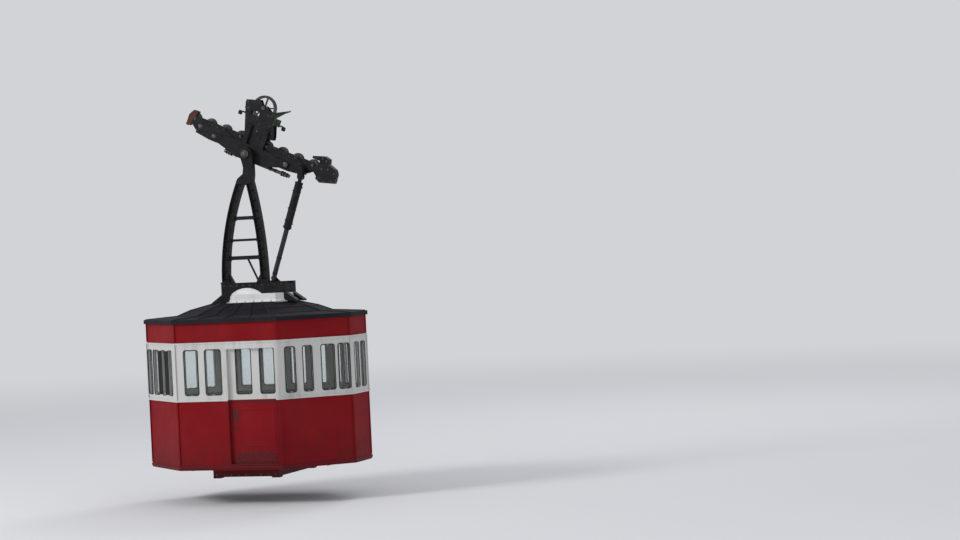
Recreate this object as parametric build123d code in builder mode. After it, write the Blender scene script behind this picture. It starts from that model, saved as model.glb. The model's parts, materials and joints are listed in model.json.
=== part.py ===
from build123d import *
from math import cos, hypot, radians, sin, sqrt
import os

# Cable car: cabin, hanger and carriage. Millimetres, +Z up, +X downhill, +Y to the far long side.
# The origin is on the axis of the track rope, at the middle of the carriage.

# General clearances
run_gap = 6.0
pin_gap = 0.05
rope_slope = 23.5

# Track wheels: eight, in four trucks of two, in two bogies of two trucks
wheel_r = 85.0
wheel_groove = 18.0
wheel_width = 40.0
hub_width = 54.0
hub_r = 34.0
track_rope_r = 18.0
wheel_pitch = 245.0
middle_gap = 415.0
axle_r = 16.0

# Plates of the carriage, layer by layer from the wheels outwards
truck_plate = 12.0
bogie_plate = 14.0
beam_plate = 18.0
layer_gap = 2.0
beam_depth = 190.0
link_pin_r = 22.0
truck_pin_h = 10.0
bogie_pin_h = -45.0
lug_r = 42.0

# Swing pin and hanger
pivot_drop = 100.0
swing_pin_r = 36.0
hub_outer_r = 92.0
leg_width = 108.0
leg_thick = 90.0
leg_web = 26.0
leg_flange = 14.0
hanger_gap = 9.0
head_depth = 370.0
apex_depth = 430.0
hanger_drop = 1941.0
base_height = 155.0
uphill_foot = 391.0
downhill_foot = 191.0
uphill_bow = 3546.0
downhill_bow = 6346.0

# Cabin plan: an eight-sided prism with 45 degree corners
cabin_length = 3056.0
cabin_width = 2145.0
corner_cut = 770.0
cabin_shift = -50.0
wall = 40.0
proud = 6.0

# Cabin heights, measured up from the foot of the walls
sill_height = 950.0
sill_rail = 75.0
window_height = 615.0
top_rail = 90.0
fascia_height = 270.0
rim_height = 57.0
rim_overhang = 30.0
roof_rise = 184.0
plinth_height = 119.0
floor_drop = 20.0
floor_thick = 60.0
ceiling_thick = 20.0
window_corner = 30.0
glass_thick = 6.0

# Sliding doors, in the downhill half of the near side and the uphill half of the far side
door_thick = 30.0
door_gap = 8.0
jamb_x = 10.0
door_post = 46.0
door_lap = 20.0
door_stay = 2.0

# Underframe
frame_length = 980.0
frame_width = 1360.0
frame_height = 130.0
frame_plate = 50.0
foot_size = 110.0
foot_height = 18.0

# Damper between carriage and hanger, measured from the swing pin
damper_top_x = 793.0
damper_top_z = -361.0
damper_foot_x = 319.0
damper_foot_z = -1735.0
tube_r = 54.0
tube_wall = 7.0
tube_length = 740.0
rod_r = 34.0
rod_inside = 335.0
damper_pin_r = 16.0
damper_eye_r = 42.0
damper_eye_width = 40.0
foot_eye = 26.0
foot_eye_r = 36.0
eye_neck = 44.0
pin_head = 10.0
ear_plate = 14.0

# Guide sheave over the auxiliary rope
sheave_r = 178.0
sheave_width = 44.0
sheave_groove = 14.0
sheave_h = 570.0
sheave_s = -20.0
sheave_hub_r = 34.0
sheave_rim = 34.0
spoke_width = 20.0
spokes = 5
fork_plate = 14.0
fork_left = -290.0
bush_s = 345.0
aux_rope_r = 10.0

# Haul rope coupling
coupling_h = -185.0
coupling_from = -260.0
coupling_to = 540.0
coupling_r = 24.0
socket_length = 120.0
haul_rope_r = 12.0

# Derived places
slope_sin = sin(radians(rope_slope))
slope_cos = cos(radians(rope_slope))
along = (slope_cos, 0, -slope_sin)
side_plane = Plane(origin=(0, 0, 0), x_dir=along, z_dir=(0, -1, 0))
pivot_x = -pivot_drop * slope_sin
pivot_z = -pivot_drop * slope_cos
cabin_x = pivot_x + cabin_shift
long_half = cabin_length / 2 - corner_cut
end_half = cabin_width / 2 - corner_cut
corner_half = corner_cut / sqrt(2)
door_far_x = long_half - door_post
door_travel = door_far_x - jamb_x - door_stay
wheel_h = track_rope_r + wheel_r - wheel_groove
first_wheel = middle_gap / 2
wheel_places = sorted(side * (first_wheel + i * wheel_pitch) for side in (-1, 1) for i in range(4))
truck_places = [(a + b) / 2 for a, b in zip(wheel_places[::2], wheel_places[1::2])]
bogie_places = [side * (first_wheel + 1.5 * wheel_pitch) for side in (-1, 1)]
truck_half = wheel_pitch / 2 + 34
truck_y = hub_width / 2 + run_gap
bogie_y = truck_y + truck_plate + layer_gap
beam_y = bogie_y + bogie_plate + layer_gap
beam_out = beam_y + beam_plate
hanger_in = beam_out + hanger_gap
hanger_mid = hanger_in + leg_thick / 2
foot_z = pivot_z - hanger_drop
wall_z = foot_z - (
    sill_height + sill_rail + window_height + top_rail + fascia_height
    + rim_height + roof_rise + plinth_height
)
sill_z = wall_z + sill_height
opening_z = sill_z + sill_rail
band_z = opening_z + window_height + top_rail
fascia_z = band_z + fascia_height
rim_z = fascia_z + rim_height
doorway_low = floor_drop + floor_thick
doorway_high = sill_height + sill_rail + window_height

# Faces of the cabin, counted from the near long side onwards
long_faces = range(0, 8, 4)
corner_faces = range(1, 8, 2)
end_faces = range(2, 8, 4)
turned_faces = range(3, 8, 4)


def at_rope(s, h, y=0.0):
    """World point at s along the rope, h above it, y across."""
    return (s * slope_cos + h * slope_sin, y, -s * slope_sin + h * slope_cos)


def rope_plane(y):
    """Side plane at y, with x along the rope, y square to it, facing the near side."""
    return side_plane.offset(-y)


def hanger_plane(y):
    """Upright side plane at y with its origin at the swing pin, facing the near side."""
    return Plane(origin=(pivot_x, y, pivot_z), x_dir=(1, 0, 0), z_dir=(0, -1, 0))


def upright_plane(y):
    """Upright side plane at y, in world x and z, facing the near side."""
    return Plane(origin=(0, y, 0), x_dir=(1, 0, 0), z_dir=(0, -1, 0))


def octagon(inset):
    """Corners of the cabin's plan, moved inwards by inset, from the near long side onwards."""
    hx = cabin_length / 2 - inset
    hy = cabin_width / 2 - inset
    cut = corner_cut - inset * (2 - sqrt(2))
    corners = [(-hx + cut, -hy), (hx - cut, -hy), (hx, -hy + cut), (hx, hy - cut)]
    corners += [(-x, -y) for x, y in corners]
    return [(cabin_x + x, y) for x, y in corners]


def scaled_octagon(scale):
    """Corners of the cabin's plan, scaled about its centre."""
    return [(cabin_x + (x - cabin_x) * scale, y * scale) for x, y in octagon(0)]


def segment(face, outer, inner):
    """Plan of one face of the ring between two insets."""
    out_ring = octagon(outer)
    in_ring = octagon(inner)
    nxt = (face + 1) % 8
    return [out_ring[face], out_ring[nxt], in_ring[nxt], in_ring[face]]


def face_plane(face, inset):
    """Plane on the outside of a face: x along the wall, y up from the wall's foot."""
    ring = octagon(inset)
    a = ring[face]
    b = ring[(face + 1) % 8]
    run = (b[0] - a[0], b[1] - a[1], 0)
    mid = ((a[0] + b[0]) / 2, (a[1] + b[1]) / 2, wall_z)
    return Plane(origin=mid, x_dir=run, z_dir=(run[1], -run[0], 0))


os.makedirs("parts", exist_ok=True)
made = []


def keep(part, name):
    """Label a finished piece and write it."""
    part.label = name
    export_step(part, f"parts/{name}.step")
    made.append(name)


# Track wheels
for index, place in enumerate(wheel_places):
    with BuildPart() as wheel:
        with BuildSketch(rope_plane(0)):
            with Locations((place, wheel_h)):
                Circle(wheel_r)
        extrude(amount=wheel_width / 2, both=True)
        with BuildSketch(rope_plane(0)):
            with Locations((place, wheel_h)):
                Circle(hub_r)
        extrude(amount=hub_width / 2, both=True)
        centre = Vector(*at_rope(place, wheel_h))
        groove_plane = Plane(origin=centre, x_dir=(0, 1, 0), z_dir=along)
        with BuildSketch(groove_plane) as groove:
            with BuildLine():
                Polyline(
                    (-wheel_width / 2 + 5, wheel_r + 1),
                    (-9, wheel_r - wheel_groove),
                    (9, wheel_r - wheel_groove),
                    (wheel_width / 2 - 5, wheel_r + 1),
                    close=True,
                )
            make_face()
        revolve(axis=Axis(centre, (0, 1, 0)), mode=Mode.SUBTRACT)
        with BuildSketch(rope_plane(0)):
            with Locations((place, wheel_h)):
                Circle(axle_r + pin_gap)
        extrude(amount=hub_width, both=True, mode=Mode.SUBTRACT)
    keep(wheel.part, f"track_wheel_{index + 1}")

# Wheel trucks: two side plates and two axles each
with BuildPart() as wheel_trucks:
    for place in truck_places:
        for side in (-1, 1):
            near = truck_y if side > 0 else -truck_y - truck_plate
            with BuildSketch(rope_plane(near + truck_plate)):
                with BuildLine():
                    Polyline(
                        (place - truck_half, wheel_h),
                        (place - truck_half, truck_pin_h),
                        (place - 60, truck_pin_h - 70),
                        (place + 60, truck_pin_h - 70),
                        (place + truck_half, truck_pin_h),
                        (place + truck_half, wheel_h),
                        (place + wheel_pitch / 2, wheel_h + 34),
                        (place - wheel_pitch / 2, wheel_h + 34),
                        close=True,
                    )
                make_face()
                with Locations((place, truck_pin_h)):
                    Circle(link_pin_r + pin_gap, mode=Mode.SUBTRACT)
            extrude(amount=truck_plate)
        with BuildSketch(rope_plane(truck_y + truck_plate + 1)):
            with Locations((place - wheel_pitch / 2, wheel_h), (place + wheel_pitch / 2, wheel_h)):
                Circle(axle_r)
        extrude(amount=2 * (truck_y + truck_plate + 1))
keep(wheel_trucks.part, "wheel_trucks")

# Bogie beams: two side plates and two link pins each
with BuildPart() as bogie_beams:
    for place in bogie_places:
        for side in (-1, 1):
            near = bogie_y if side > 0 else -bogie_y - bogie_plate
            with BuildSketch(rope_plane(near + bogie_plate)):
                with BuildLine():
                    Polyline(
                        (place - wheel_pitch - lug_r, truck_pin_h + 20),
                        (place - wheel_pitch - lug_r, bogie_pin_h - 45),
                        (place - 60, bogie_pin_h - 75),
                        (place + 60, bogie_pin_h - 75),
                        (place + wheel_pitch + lug_r, bogie_pin_h - 45),
                        (place + wheel_pitch + lug_r, truck_pin_h + 20),
                        (place + wheel_pitch - 20, truck_pin_h + lug_r),
                        (place + 110, wheel_h + 30),
                        (place - 110, wheel_h + 30),
                        (place - wheel_pitch + 20, truck_pin_h + lug_r),
                        close=True,
                    )
                make_face()
                with Locations((place, bogie_pin_h)):
                    Circle(link_pin_r + pin_gap, mode=Mode.SUBTRACT)
            extrude(amount=bogie_plate)
        for side in (-1, 1):
            y_out = side * (bogie_y + bogie_plate)
            y_start = max(y_out, side * truck_y)
            with BuildSketch(rope_plane(y_start)):
                with Locations((place - wheel_pitch, truck_pin_h), (place + wheel_pitch, truck_pin_h)):
                    Circle(link_pin_r)
            extrude(amount=abs(y_out) - truck_y)
keep(bogie_beams.part, "bogie_beams")

# Main beam: two plates, with lugs at the bogies and a deep middle that holds the swing pin
beam_end = bogie_places[1]
for name, side in (("main_beam_near", -1), ("main_beam_far", 1)):
    with BuildPart() as main_beam:
        y_high = -beam_y if side < 0 else beam_out
        with BuildSketch(rope_plane(y_high)):
            with BuildLine():
                Polyline(
                    (-beam_end - lug_r, bogie_pin_h + 34),
                    (-beam_end - lug_r, bogie_pin_h - 34),
                    (-beam_end + 20, bogie_pin_h - lug_r - 10),
                    (-180, -beam_depth),
                    (280, -beam_depth),
                    (beam_end - 20, bogie_pin_h - lug_r - 10),
                    (beam_end + lug_r, bogie_pin_h - 34),
                    (beam_end + lug_r, bogie_pin_h + 34),
                    (230, 30),
                    (-230, 30),
                    close=True,
                )
            make_face()
            with Locations((0, -pivot_drop)):
                Circle(swing_pin_r + pin_gap, mode=Mode.SUBTRACT)
        extrude(amount=beam_plate)
        for place in bogie_places:
            y_start = -bogie_y if side < 0 else beam_y
            with BuildSketch(rope_plane(y_start)):
                with Locations((place, bogie_pin_h)):
                    Circle(link_pin_r)
            extrude(amount=beam_y - bogie_y)
    keep(main_beam.part, name)

# Swing pin, fixed in the main beam, with a cap each end
cap_thick = 14.0
pin_near = hanger_in + leg_thick + 16 + run_gap
with BuildPart() as swing_pin:
    with BuildSketch(rope_plane(beam_out)):
        with Locations((0, -pivot_drop)):
            Circle(swing_pin_r)
    extrude(amount=beam_out + pin_near)
    with BuildSketch(rope_plane(-pin_near)):
        with Locations((0, -pivot_drop)):
            Circle(swing_pin_r + 18)
    extrude(amount=cap_thick)
    with BuildSketch(rope_plane(beam_out + cap_thick)):
        with Locations((0, -pivot_drop)):
            Circle(swing_pin_r + 18)
    extrude(amount=cap_thick)
keep(swing_pin.part, "swing_pin")

# Haul rope coupling: a bar with a socket at each end, hung between the beam plates
with BuildPart() as haul_coupling:
    start = Plane(origin=at_rope(coupling_from, coupling_h), z_dir=along)
    with BuildSketch(start):
        Circle(coupling_r)
    extrude(amount=coupling_to - coupling_from)
    for place, way in ((coupling_from, -1), (coupling_to, 1)):
        flow = (way * along[0], 0, way * along[2])
        socket = Plane(origin=at_rope(place, coupling_h), x_dir=(0, 1, 0), z_dir=flow)
        with BuildSketch(socket):
            Circle(coupling_r + 10)
        with BuildSketch(socket.offset(socket_length)):
            Circle(coupling_r)
        loft()
        with BuildSketch(socket.offset(socket_length)):
            Circle(haul_rope_r)
        extrude(amount=-socket_length, mode=Mode.SUBTRACT)
    for place in (-110.0, 190.0):
        with BuildSketch(rope_plane(beam_y)):
            with Locations((place, (coupling_h - beam_depth + 40) / 2)):
                Rectangle(60, 46)
        extrude(amount=2 * beam_y)
keep(haul_coupling.part, "haul_coupling")

# Sheave fork: two plates cut down round the sheave, a block and a spacer between them, and its brackets
fork_y = hub_width / 2 + run_gap + 1
with BuildPart() as sheave_fork:
    for side in (-1, 1):
        y_high = -fork_y if side < 0 else fork_y + fork_plate
        with BuildSketch(rope_plane(y_high)):
            with BuildLine():
                Polyline(
                    (-150, 10),
                    (150, 10),
                    (150, wheel_h + wheel_r + 24),
                    (262, wheel_h + wheel_r + 24),
                    (262, 240),
                    (212, 395),
                    (186, 480),
                    (147, sheave_h - 10),
                    (90, sheave_h - 10),
                    (sheave_s + 34, sheave_h + 36),
                    (sheave_s - 34, sheave_h + 36),
                    (-104, sheave_h + 96),
                    (-205, sheave_h + 52),
                    (fork_left, sheave_h + 26),
                    (fork_left, sheave_h - 10),
                    (-158, 150),
                    close=True,
                )
            make_face()
            with Locations((sheave_s, sheave_h)):
                Circle(axle_r + pin_gap, mode=Mode.SUBTRACT)
            with Locations((-112, 464)):
                Rectangle(130, 66, mode=Mode.SUBTRACT)
        extrude(amount=fork_plate)
        y_high = -fork_y - fork_plate if side < 0 else beam_out
        for place in (-118.0, 150.0):
            with BuildSketch(rope_plane(y_high)):
                with Locations((place, 165)):
                    Rectangle(70, 270)
            extrude(amount=beam_out - fork_y - fork_plate)
    with BuildSketch(rope_plane(fork_y)):
        with Locations((fork_left + 40, sheave_h - 30)):
            Rectangle(80, 110)
        with Locations((0, 240)):
            Rectangle(50, 40)
    extrude(amount=2 * fork_y)
keep(sheave_fork.part, "sheave_fork")

# Lever of the sheave: a pointed horn and its box on the near side of the fork
lever_plate = 12.0
with BuildPart() as sheave_lever:
    with BuildSketch(rope_plane(-fork_y - fork_plate)):
        with BuildLine():
            Polyline(
                (100, 470),
                (170, 488),
                (226, 515),
                (382, 676),
                (212, 592),
                (135, 555),
                close=True,
            )
        make_face()
    extrude(amount=lever_plate)
    with BuildSketch(rope_plane(-fork_y - fork_plate)):
        with Locations((250, 452)):
            Rectangle(96, 100)
    extrude(amount=3 * lever_plate)
keep(sheave_lever.part, "sheave_lever")

with BuildPart() as sheave_axle:
    with BuildSketch(rope_plane(fork_y + fork_plate)):
        with Locations((sheave_s, sheave_h)):
            Circle(axle_r)
    extrude(amount=2 * (fork_y + fork_plate))
    for y_high in (fork_y + fork_plate + 8, -fork_y - fork_plate):
        with BuildSketch(rope_plane(y_high)):
            with Locations((sheave_s, sheave_h)):
                Circle(axle_r + 10)
        extrude(amount=8)
keep(sheave_axle.part, "sheave_axle")

# Guide sheave: grooved rim, hub and spokes
with BuildPart() as guide_sheave:
    with BuildSketch(rope_plane(sheave_width / 2)):
        with Locations((sheave_s, sheave_h)):
            Circle(sheave_r)
            Circle(sheave_r - sheave_rim, mode=Mode.SUBTRACT)
    extrude(amount=sheave_width)
    with BuildSketch(rope_plane(hub_width / 2)):
        with Locations((sheave_s, sheave_h)):
            Circle(sheave_hub_r)
    extrude(amount=hub_width)
    with BuildSketch(rope_plane(sheave_width / 4)):
        with Locations((sheave_s, sheave_h)):
            with PolarLocations((sheave_hub_r + sheave_r - sheave_rim) / 2, spokes, start_angle=18):
                Rectangle(sheave_r - sheave_rim - sheave_hub_r + 14, spoke_width)
    extrude(amount=sheave_width / 2)
    sheave_centre = Vector(*at_rope(sheave_s, sheave_h))
    with BuildSketch(Plane(origin=sheave_centre, x_dir=(0, 1, 0), z_dir=along)):
        with BuildLine():
            Polyline(
                (-sheave_width / 2 + 6, sheave_r + 1),
                (-7, sheave_r - sheave_groove),
                (7, sheave_r - sheave_groove),
                (sheave_width / 2 - 6, sheave_r + 1),
                close=True,
            )
        make_face()
    revolve(axis=Axis(sheave_centre, (0, 1, 0)), mode=Mode.SUBTRACT)
    with BuildSketch(rope_plane(0)):
        with Locations((sheave_s, sheave_h)):
            Circle(axle_r + pin_gap)
    extrude(amount=hub_width, both=True, mode=Mode.SUBTRACT)
keep(guide_sheave.part, "guide_sheave")

# Rope bushes for the auxiliary rope, on arms from the fork
aux_h = sheave_h - sheave_r + sheave_groove - aux_rope_r
with BuildPart() as rope_bushes:
    for place, low_edge, high_edge in ((-bush_s, -243.3, -247.2), (bush_s, 206.5, 202.8)):
        with BuildSketch(Plane(origin=at_rope(place - 20, aux_h), z_dir=along)):
            Circle(30)
            Circle(aux_rope_r + 6, mode=Mode.SUBTRACT)
        extrude(amount=40)
        bush_edge = place - 20 if place > 0 else place + 20
        with BuildSketch(rope_plane(fork_y + fork_plate)):
            with BuildLine():
                Polyline(
                    (low_edge, aux_h + 18),
                    (high_edge, aux_h + 30),
                    (bush_edge, aux_h + 30),
                    (bush_edge, aux_h + 18),
                    close=True,
                )
            make_face()
        extrude(amount=2 * (fork_y + fork_plate))
keep(rope_bushes.part, "rope_bushes")

# Uphill rope guard: a cover round the first wheel, with two cheeks on the plates of the first truck
truck_out = truck_y + truck_plate
guard_gap = 8.0
guard_skin = 12.0
with BuildPart() as uphill_guard:
    first = wheel_places[0]
    guard_in = first - wheel_r - guard_gap
    guard_out = guard_in - guard_skin
    guard_top = wheel_h + wheel_r + guard_gap
    with BuildSketch(rope_plane(truck_out)):
        with BuildLine():
            Polyline(
                (guard_out, -40),
                (guard_in, -40),
                (guard_in, wheel_h + 22),
                (first - 52, guard_top),
                (first + 12, guard_top),
                (first + 12, guard_top + guard_skin),
                (first - 58, guard_top + guard_skin),
                (guard_out, wheel_h + 28),
                close=True,
            )
        make_face()
    extrude(amount=2 * truck_out)
    for y_high in (truck_out, -truck_y):
        with BuildSketch(rope_plane(y_high)):
            with BuildLine():
                Polyline(
                    (guard_out, -40),
                    (first - 60, -40),
                    (first - 34, truck_pin_h),
                    (first - 34, wheel_h),
                    (first, wheel_h + 34),
                    (first + 12, guard_top + guard_skin),
                    (first - 58, guard_top + guard_skin),
                    (guard_out, wheel_h + 28),
                    close=True,
                )
            make_face()
        extrude(amount=truck_plate)
    with BuildSketch(Plane(origin=at_rope(guard_out - 20, 0), z_dir=along)):
        Circle(track_rope_r + 8)
    extrude(amount=guard_skin + 40, mode=Mode.SUBTRACT)
keep(uphill_guard.part, "uphill_guard")

# Downhill guide: a block round the rope that runs up into a hood over the last wheel, on two arms
guide_y = 60.0
with BuildPart() as downhill_guide:
    last = wheel_places[7]
    with BuildSketch(rope_plane(guide_y)):
        with BuildLine():
            Polyline(
                (last - 32, wheel_h + wheel_r + 10),
                (last - 32, 212),
                (last + 125, 262),
                (last + 205, 244),
                (last + 222, 180),
                (last + 337, 141),
                (last + 376, 88),
                (last + 385, -45),
                (last + 180, -104),
                (last + 106, -70),
                (last + 106, 100),
                (last + 84, wheel_h + wheel_r + 10),
                close=True,
            )
        make_face()
    extrude(amount=2 * guide_y)
    for y_high in (truck_out, -truck_y):
        with BuildSketch(rope_plane(y_high)):
            with BuildLine():
                Polyline(
                    (last + 34, wheel_h),
                    (last + 34, truck_pin_h),
                    (last + 112, -50),
                    (last + 112, 100),
                    close=True,
                )
            make_face()
        extrude(amount=truck_plate)
    with BuildSketch(Plane(origin=at_rope(last + 60, 0), z_dir=along)):
        Circle(track_rope_r + 8)
    extrude(amount=400, mode=Mode.SUBTRACT)
keep(downhill_guide.part, "downhill_guide")

# Damper bracket: a seat on the near plate of the downhill bogie, with two ears round the damper's eye
damper_top = (pivot_x + damper_top_x, pivot_z + damper_top_z)
damper_foot = (pivot_x + damper_foot_x, pivot_z + damper_foot_z)
damper_len = hypot(damper_top_x - damper_foot_x, damper_top_z - damper_foot_z)
damper_dir = ((damper_foot_x - damper_top_x) / damper_len, 0, (damper_foot_z - damper_top_z) / damper_len)
ear_s = damper_top[0] * slope_cos - damper_top[1] * slope_sin
ear_h = damper_top[0] * slope_sin + damper_top[1] * slope_cos
seat_s = bogie_places[1] + wheel_pitch
seat_y = bogie_y + bogie_plate
ear_gap = damper_eye_width / 2 + run_gap
with BuildPart() as damper_bracket:
    with BuildSketch(rope_plane(-seat_y)):
        with BuildLine():
            Polyline(
                (seat_s - 34, truck_pin_h + 20),
                (ear_s - 68, ear_h + 34),
                (ear_s + 30, ear_h + 72),
                (seat_s + 40, truck_pin_h + 10),
                close=True,
            )
        make_face()
    extrude(amount=hanger_mid + ear_gap - seat_y)
    for y_high in (-hanger_mid + ear_gap + ear_plate, -hanger_mid - ear_gap):
        with BuildSketch(rope_plane(y_high)):
            with BuildLine():
                Polyline(
                    (seat_s - 34, truck_pin_h + 20),
                    (ear_s - damper_eye_r, ear_h),
                    (ear_s + damper_eye_r, ear_h),
                    (seat_s + 40, truck_pin_h + 10),
                    close=True,
                )
            make_face()
            with Locations((ear_s, ear_h)):
                Circle(damper_eye_r)
        extrude(amount=ear_plate)
    with BuildSketch(rope_plane(-hanger_mid + ear_gap)):
        with Locations((ear_s, ear_h)):
            Circle(damper_pin_r)
    extrude(amount=2 * ear_gap)
keep(damper_bracket.part, "damper_bracket")

# Damper tube and rod
damper_frame = Plane(
    origin=(damper_top[0], -hanger_mid, damper_top[1]), x_dir=(0, -1, 0), z_dir=damper_dir
)
with BuildPart() as damper_tube:
    with BuildSketch(upright_plane(-hanger_mid + damper_eye_width / 2)):
        with Locations(damper_top):
            Circle(damper_eye_r)
    extrude(amount=damper_eye_width)
    with BuildSketch(damper_frame.offset(damper_eye_r + 34)):
        Circle(tube_r)
    extrude(amount=tube_length - damper_eye_r - 34)
    with BuildSketch(damper_frame):
        Rectangle(damper_eye_width, eye_neck)
    extrude(amount=damper_eye_r + 34)
    with BuildSketch(damper_frame.offset(damper_eye_r + 44)):
        Circle(tube_r - tube_wall)
    extrude(amount=tube_length - damper_eye_r - 44 - 10, mode=Mode.SUBTRACT)
    with BuildSketch(damper_frame.offset(tube_length - 10)):
        Circle(rod_r + 0.5)
    extrude(amount=10, mode=Mode.SUBTRACT)
    with BuildSketch(upright_plane(-hanger_mid + 60)):
        with Locations(damper_top):
            Circle(damper_pin_r + pin_gap)
    extrude(amount=120, mode=Mode.SUBTRACT)
keep(damper_tube.part, "damper_tube")

with BuildPart() as damper_rod:
    with BuildSketch(damper_frame.offset(tube_length - rod_inside)):
        Circle(rod_r)
    extrude(amount=damper_len - tube_length + rod_inside - foot_eye_r)
    with BuildSketch(damper_frame.offset(damper_len - foot_eye_r - 12)):
        Rectangle(foot_eye, eye_neck)
    extrude(amount=foot_eye_r + 12)
    with BuildSketch(upright_plane(-hanger_mid + foot_eye / 2)):
        with Locations(damper_foot):
            Circle(foot_eye_r)
    extrude(amount=foot_eye)
    with BuildSketch(upright_plane(-hanger_mid - foot_eye / 2)):
        with Locations(damper_foot):
            Circle(damper_pin_r + 8)
    extrude(amount=pin_head)
keep(damper_rod.part, "damper_rod")

# Hanger head: hub on the swing pin and a plate that widens to the legs
leg_top = -head_depth
leg_foot = -(hanger_drop - base_height)


def leg_edge(foot, bow, offset, depth):
    """Spread of a line beside a leg's middle line, offset outwards, at a depth below the pin."""
    rise = depth + leg_foot
    return foot - bow + sqrt((bow + offset) ** 2 - rise ** 2)


half = leg_width / 2
in_side = -half - 0.3
with BuildPart() as hanger_head:
    with BuildSketch(hanger_plane(-hanger_in)):
        with BuildLine():
            Polyline(
                (-hub_outer_r, 0),
                (-62, -110),
                (-44, -190),
                (-56, -275),
                (-136, -335),
                (-leg_edge(uphill_foot, uphill_bow, half, head_depth) - 2, leg_top),
                (-leg_edge(uphill_foot, uphill_bow, in_side, head_depth), leg_top),
                (-leg_edge(uphill_foot, uphill_bow, in_side, apex_depth), -apex_depth),
                (leg_edge(downhill_foot, downhill_bow, in_side, apex_depth), -apex_depth),
                (leg_edge(downhill_foot, downhill_bow, in_side, head_depth), leg_top),
                (leg_edge(downhill_foot, downhill_bow, half, head_depth) + 2, leg_top),
                (100, -300),
                (100, -150),
                (hub_outer_r, 0),
                close=True,
            )
        make_face()
        Circle(hub_outer_r)
    extrude(amount=leg_thick)
    with BuildSketch(hanger_plane(-hanger_in)):
        Circle(hub_outer_r - 20)
    extrude(amount=leg_thick + 16)
    with BuildSketch(hanger_plane(0)):
        Circle(swing_pin_r + pin_gap)
    extrude(amount=400, mode=Mode.SUBTRACT)
keep(hanger_head.part, "hanger_head")

# Legs: bowed channels, upright at their feet
for name, sign, foot, bow in (
    ("leg_uphill", -1, uphill_foot, uphill_bow),
    ("leg_downhill", 1, downhill_foot, downhill_bow),
):
    centre_x = sign * (foot - bow)
    with BuildPart() as leg:
        for depth, inset, mode in ((leg_thick, 0, Mode.ADD), (0, leg_flange, Mode.SUBTRACT)):
            radii = (bow - half + inset, bow + half - inset)
            spots = []
            for radius in radii:
                low = leg_foot + (inset * 3)
                high = leg_top - (inset * 3)
                spots.append([
                    (centre_x + sign * sqrt(radius ** 2 - (z - leg_foot) ** 2), z)
                    for z in (low, (low + high) / 2, high)
                ])
            planes = [hanger_plane(-hanger_in)] if inset == 0 else [
                hanger_plane(-hanger_in), hanger_plane(-hanger_in - (leg_thick + leg_web) / 2)
            ]
            amount = leg_thick if inset == 0 else (leg_thick - leg_web) / 2
            for plane in planes:
                with BuildSketch(plane):
                    with BuildLine():
                        ThreePointArc(*spots[0])
                        ThreePointArc(*spots[1])
                        Line(spots[0][0], spots[1][0])
                        Line(spots[0][2], spots[1][2])
                    make_face()
                extrude(amount=amount, mode=mode)
    keep(leg.part, name)

# Rungs between the legs and a knee brace
rung_rows = [
    # depth below the pin, height of the bar
    (886.0, 50.0),
    (1191.0, 34.0),
    (1437.0, 54.0),
]
rung_thick = 48.0
brace_thick = 22.0
brace_width = 24.0
brace_from = -60.0
brace_to = 88.0
brace_top = -rung_rows[-1][0] - rung_rows[-1][1] / 2
gusset_height = 130.0
gusset_run = 74.0
with BuildPart() as rungs:
    for depth, tall in rung_rows:
        ends = [
            (sign * leg_edge(foot, bow, in_side, depth + way * tall / 2), -depth - way * tall / 2)
            for sign, foot, bow, ways in (
                (-1, uphill_foot, uphill_bow, (-1, 1)),
                (1, downhill_foot, downhill_bow, (1, -1)),
            )
            for way in ways
        ]
        with BuildSketch(hanger_plane(-hanger_mid + rung_thick / 2)):
            with BuildLine():
                Polyline(*ends, close=True)
            make_face()
        extrude(amount=rung_thick)
    with BuildSketch(hanger_plane(-hanger_mid + brace_thick / 2)):
        with BuildLine():
            Polyline(
                (brace_from, brace_top),
                (brace_from + brace_width, brace_top),
                (brace_to + brace_width, leg_foot),
                (brace_to, leg_foot),
                close=True,
            )
        make_face()
    extrude(amount=brace_thick)
    for sign, foot, bow in ((-1, uphill_foot, uphill_bow), (1, downhill_foot, downhill_bow)):
        low_in = leg_edge(foot, bow, in_side, -leg_foot)
        high_in = leg_edge(foot, bow, in_side, -leg_foot - gusset_height)
        with BuildSketch(hanger_plane(-hanger_mid + rung_thick / 2)):
            with BuildLine():
                Polyline(
                    (sign * low_in, leg_foot),
                    (sign * high_in, leg_foot + gusset_height),
                    (sign * (low_in - gusset_run), leg_foot),
                    close=True,
                )
            make_face()
        extrude(amount=rung_thick)
keep(rungs.part, "hanger_rungs")

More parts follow.
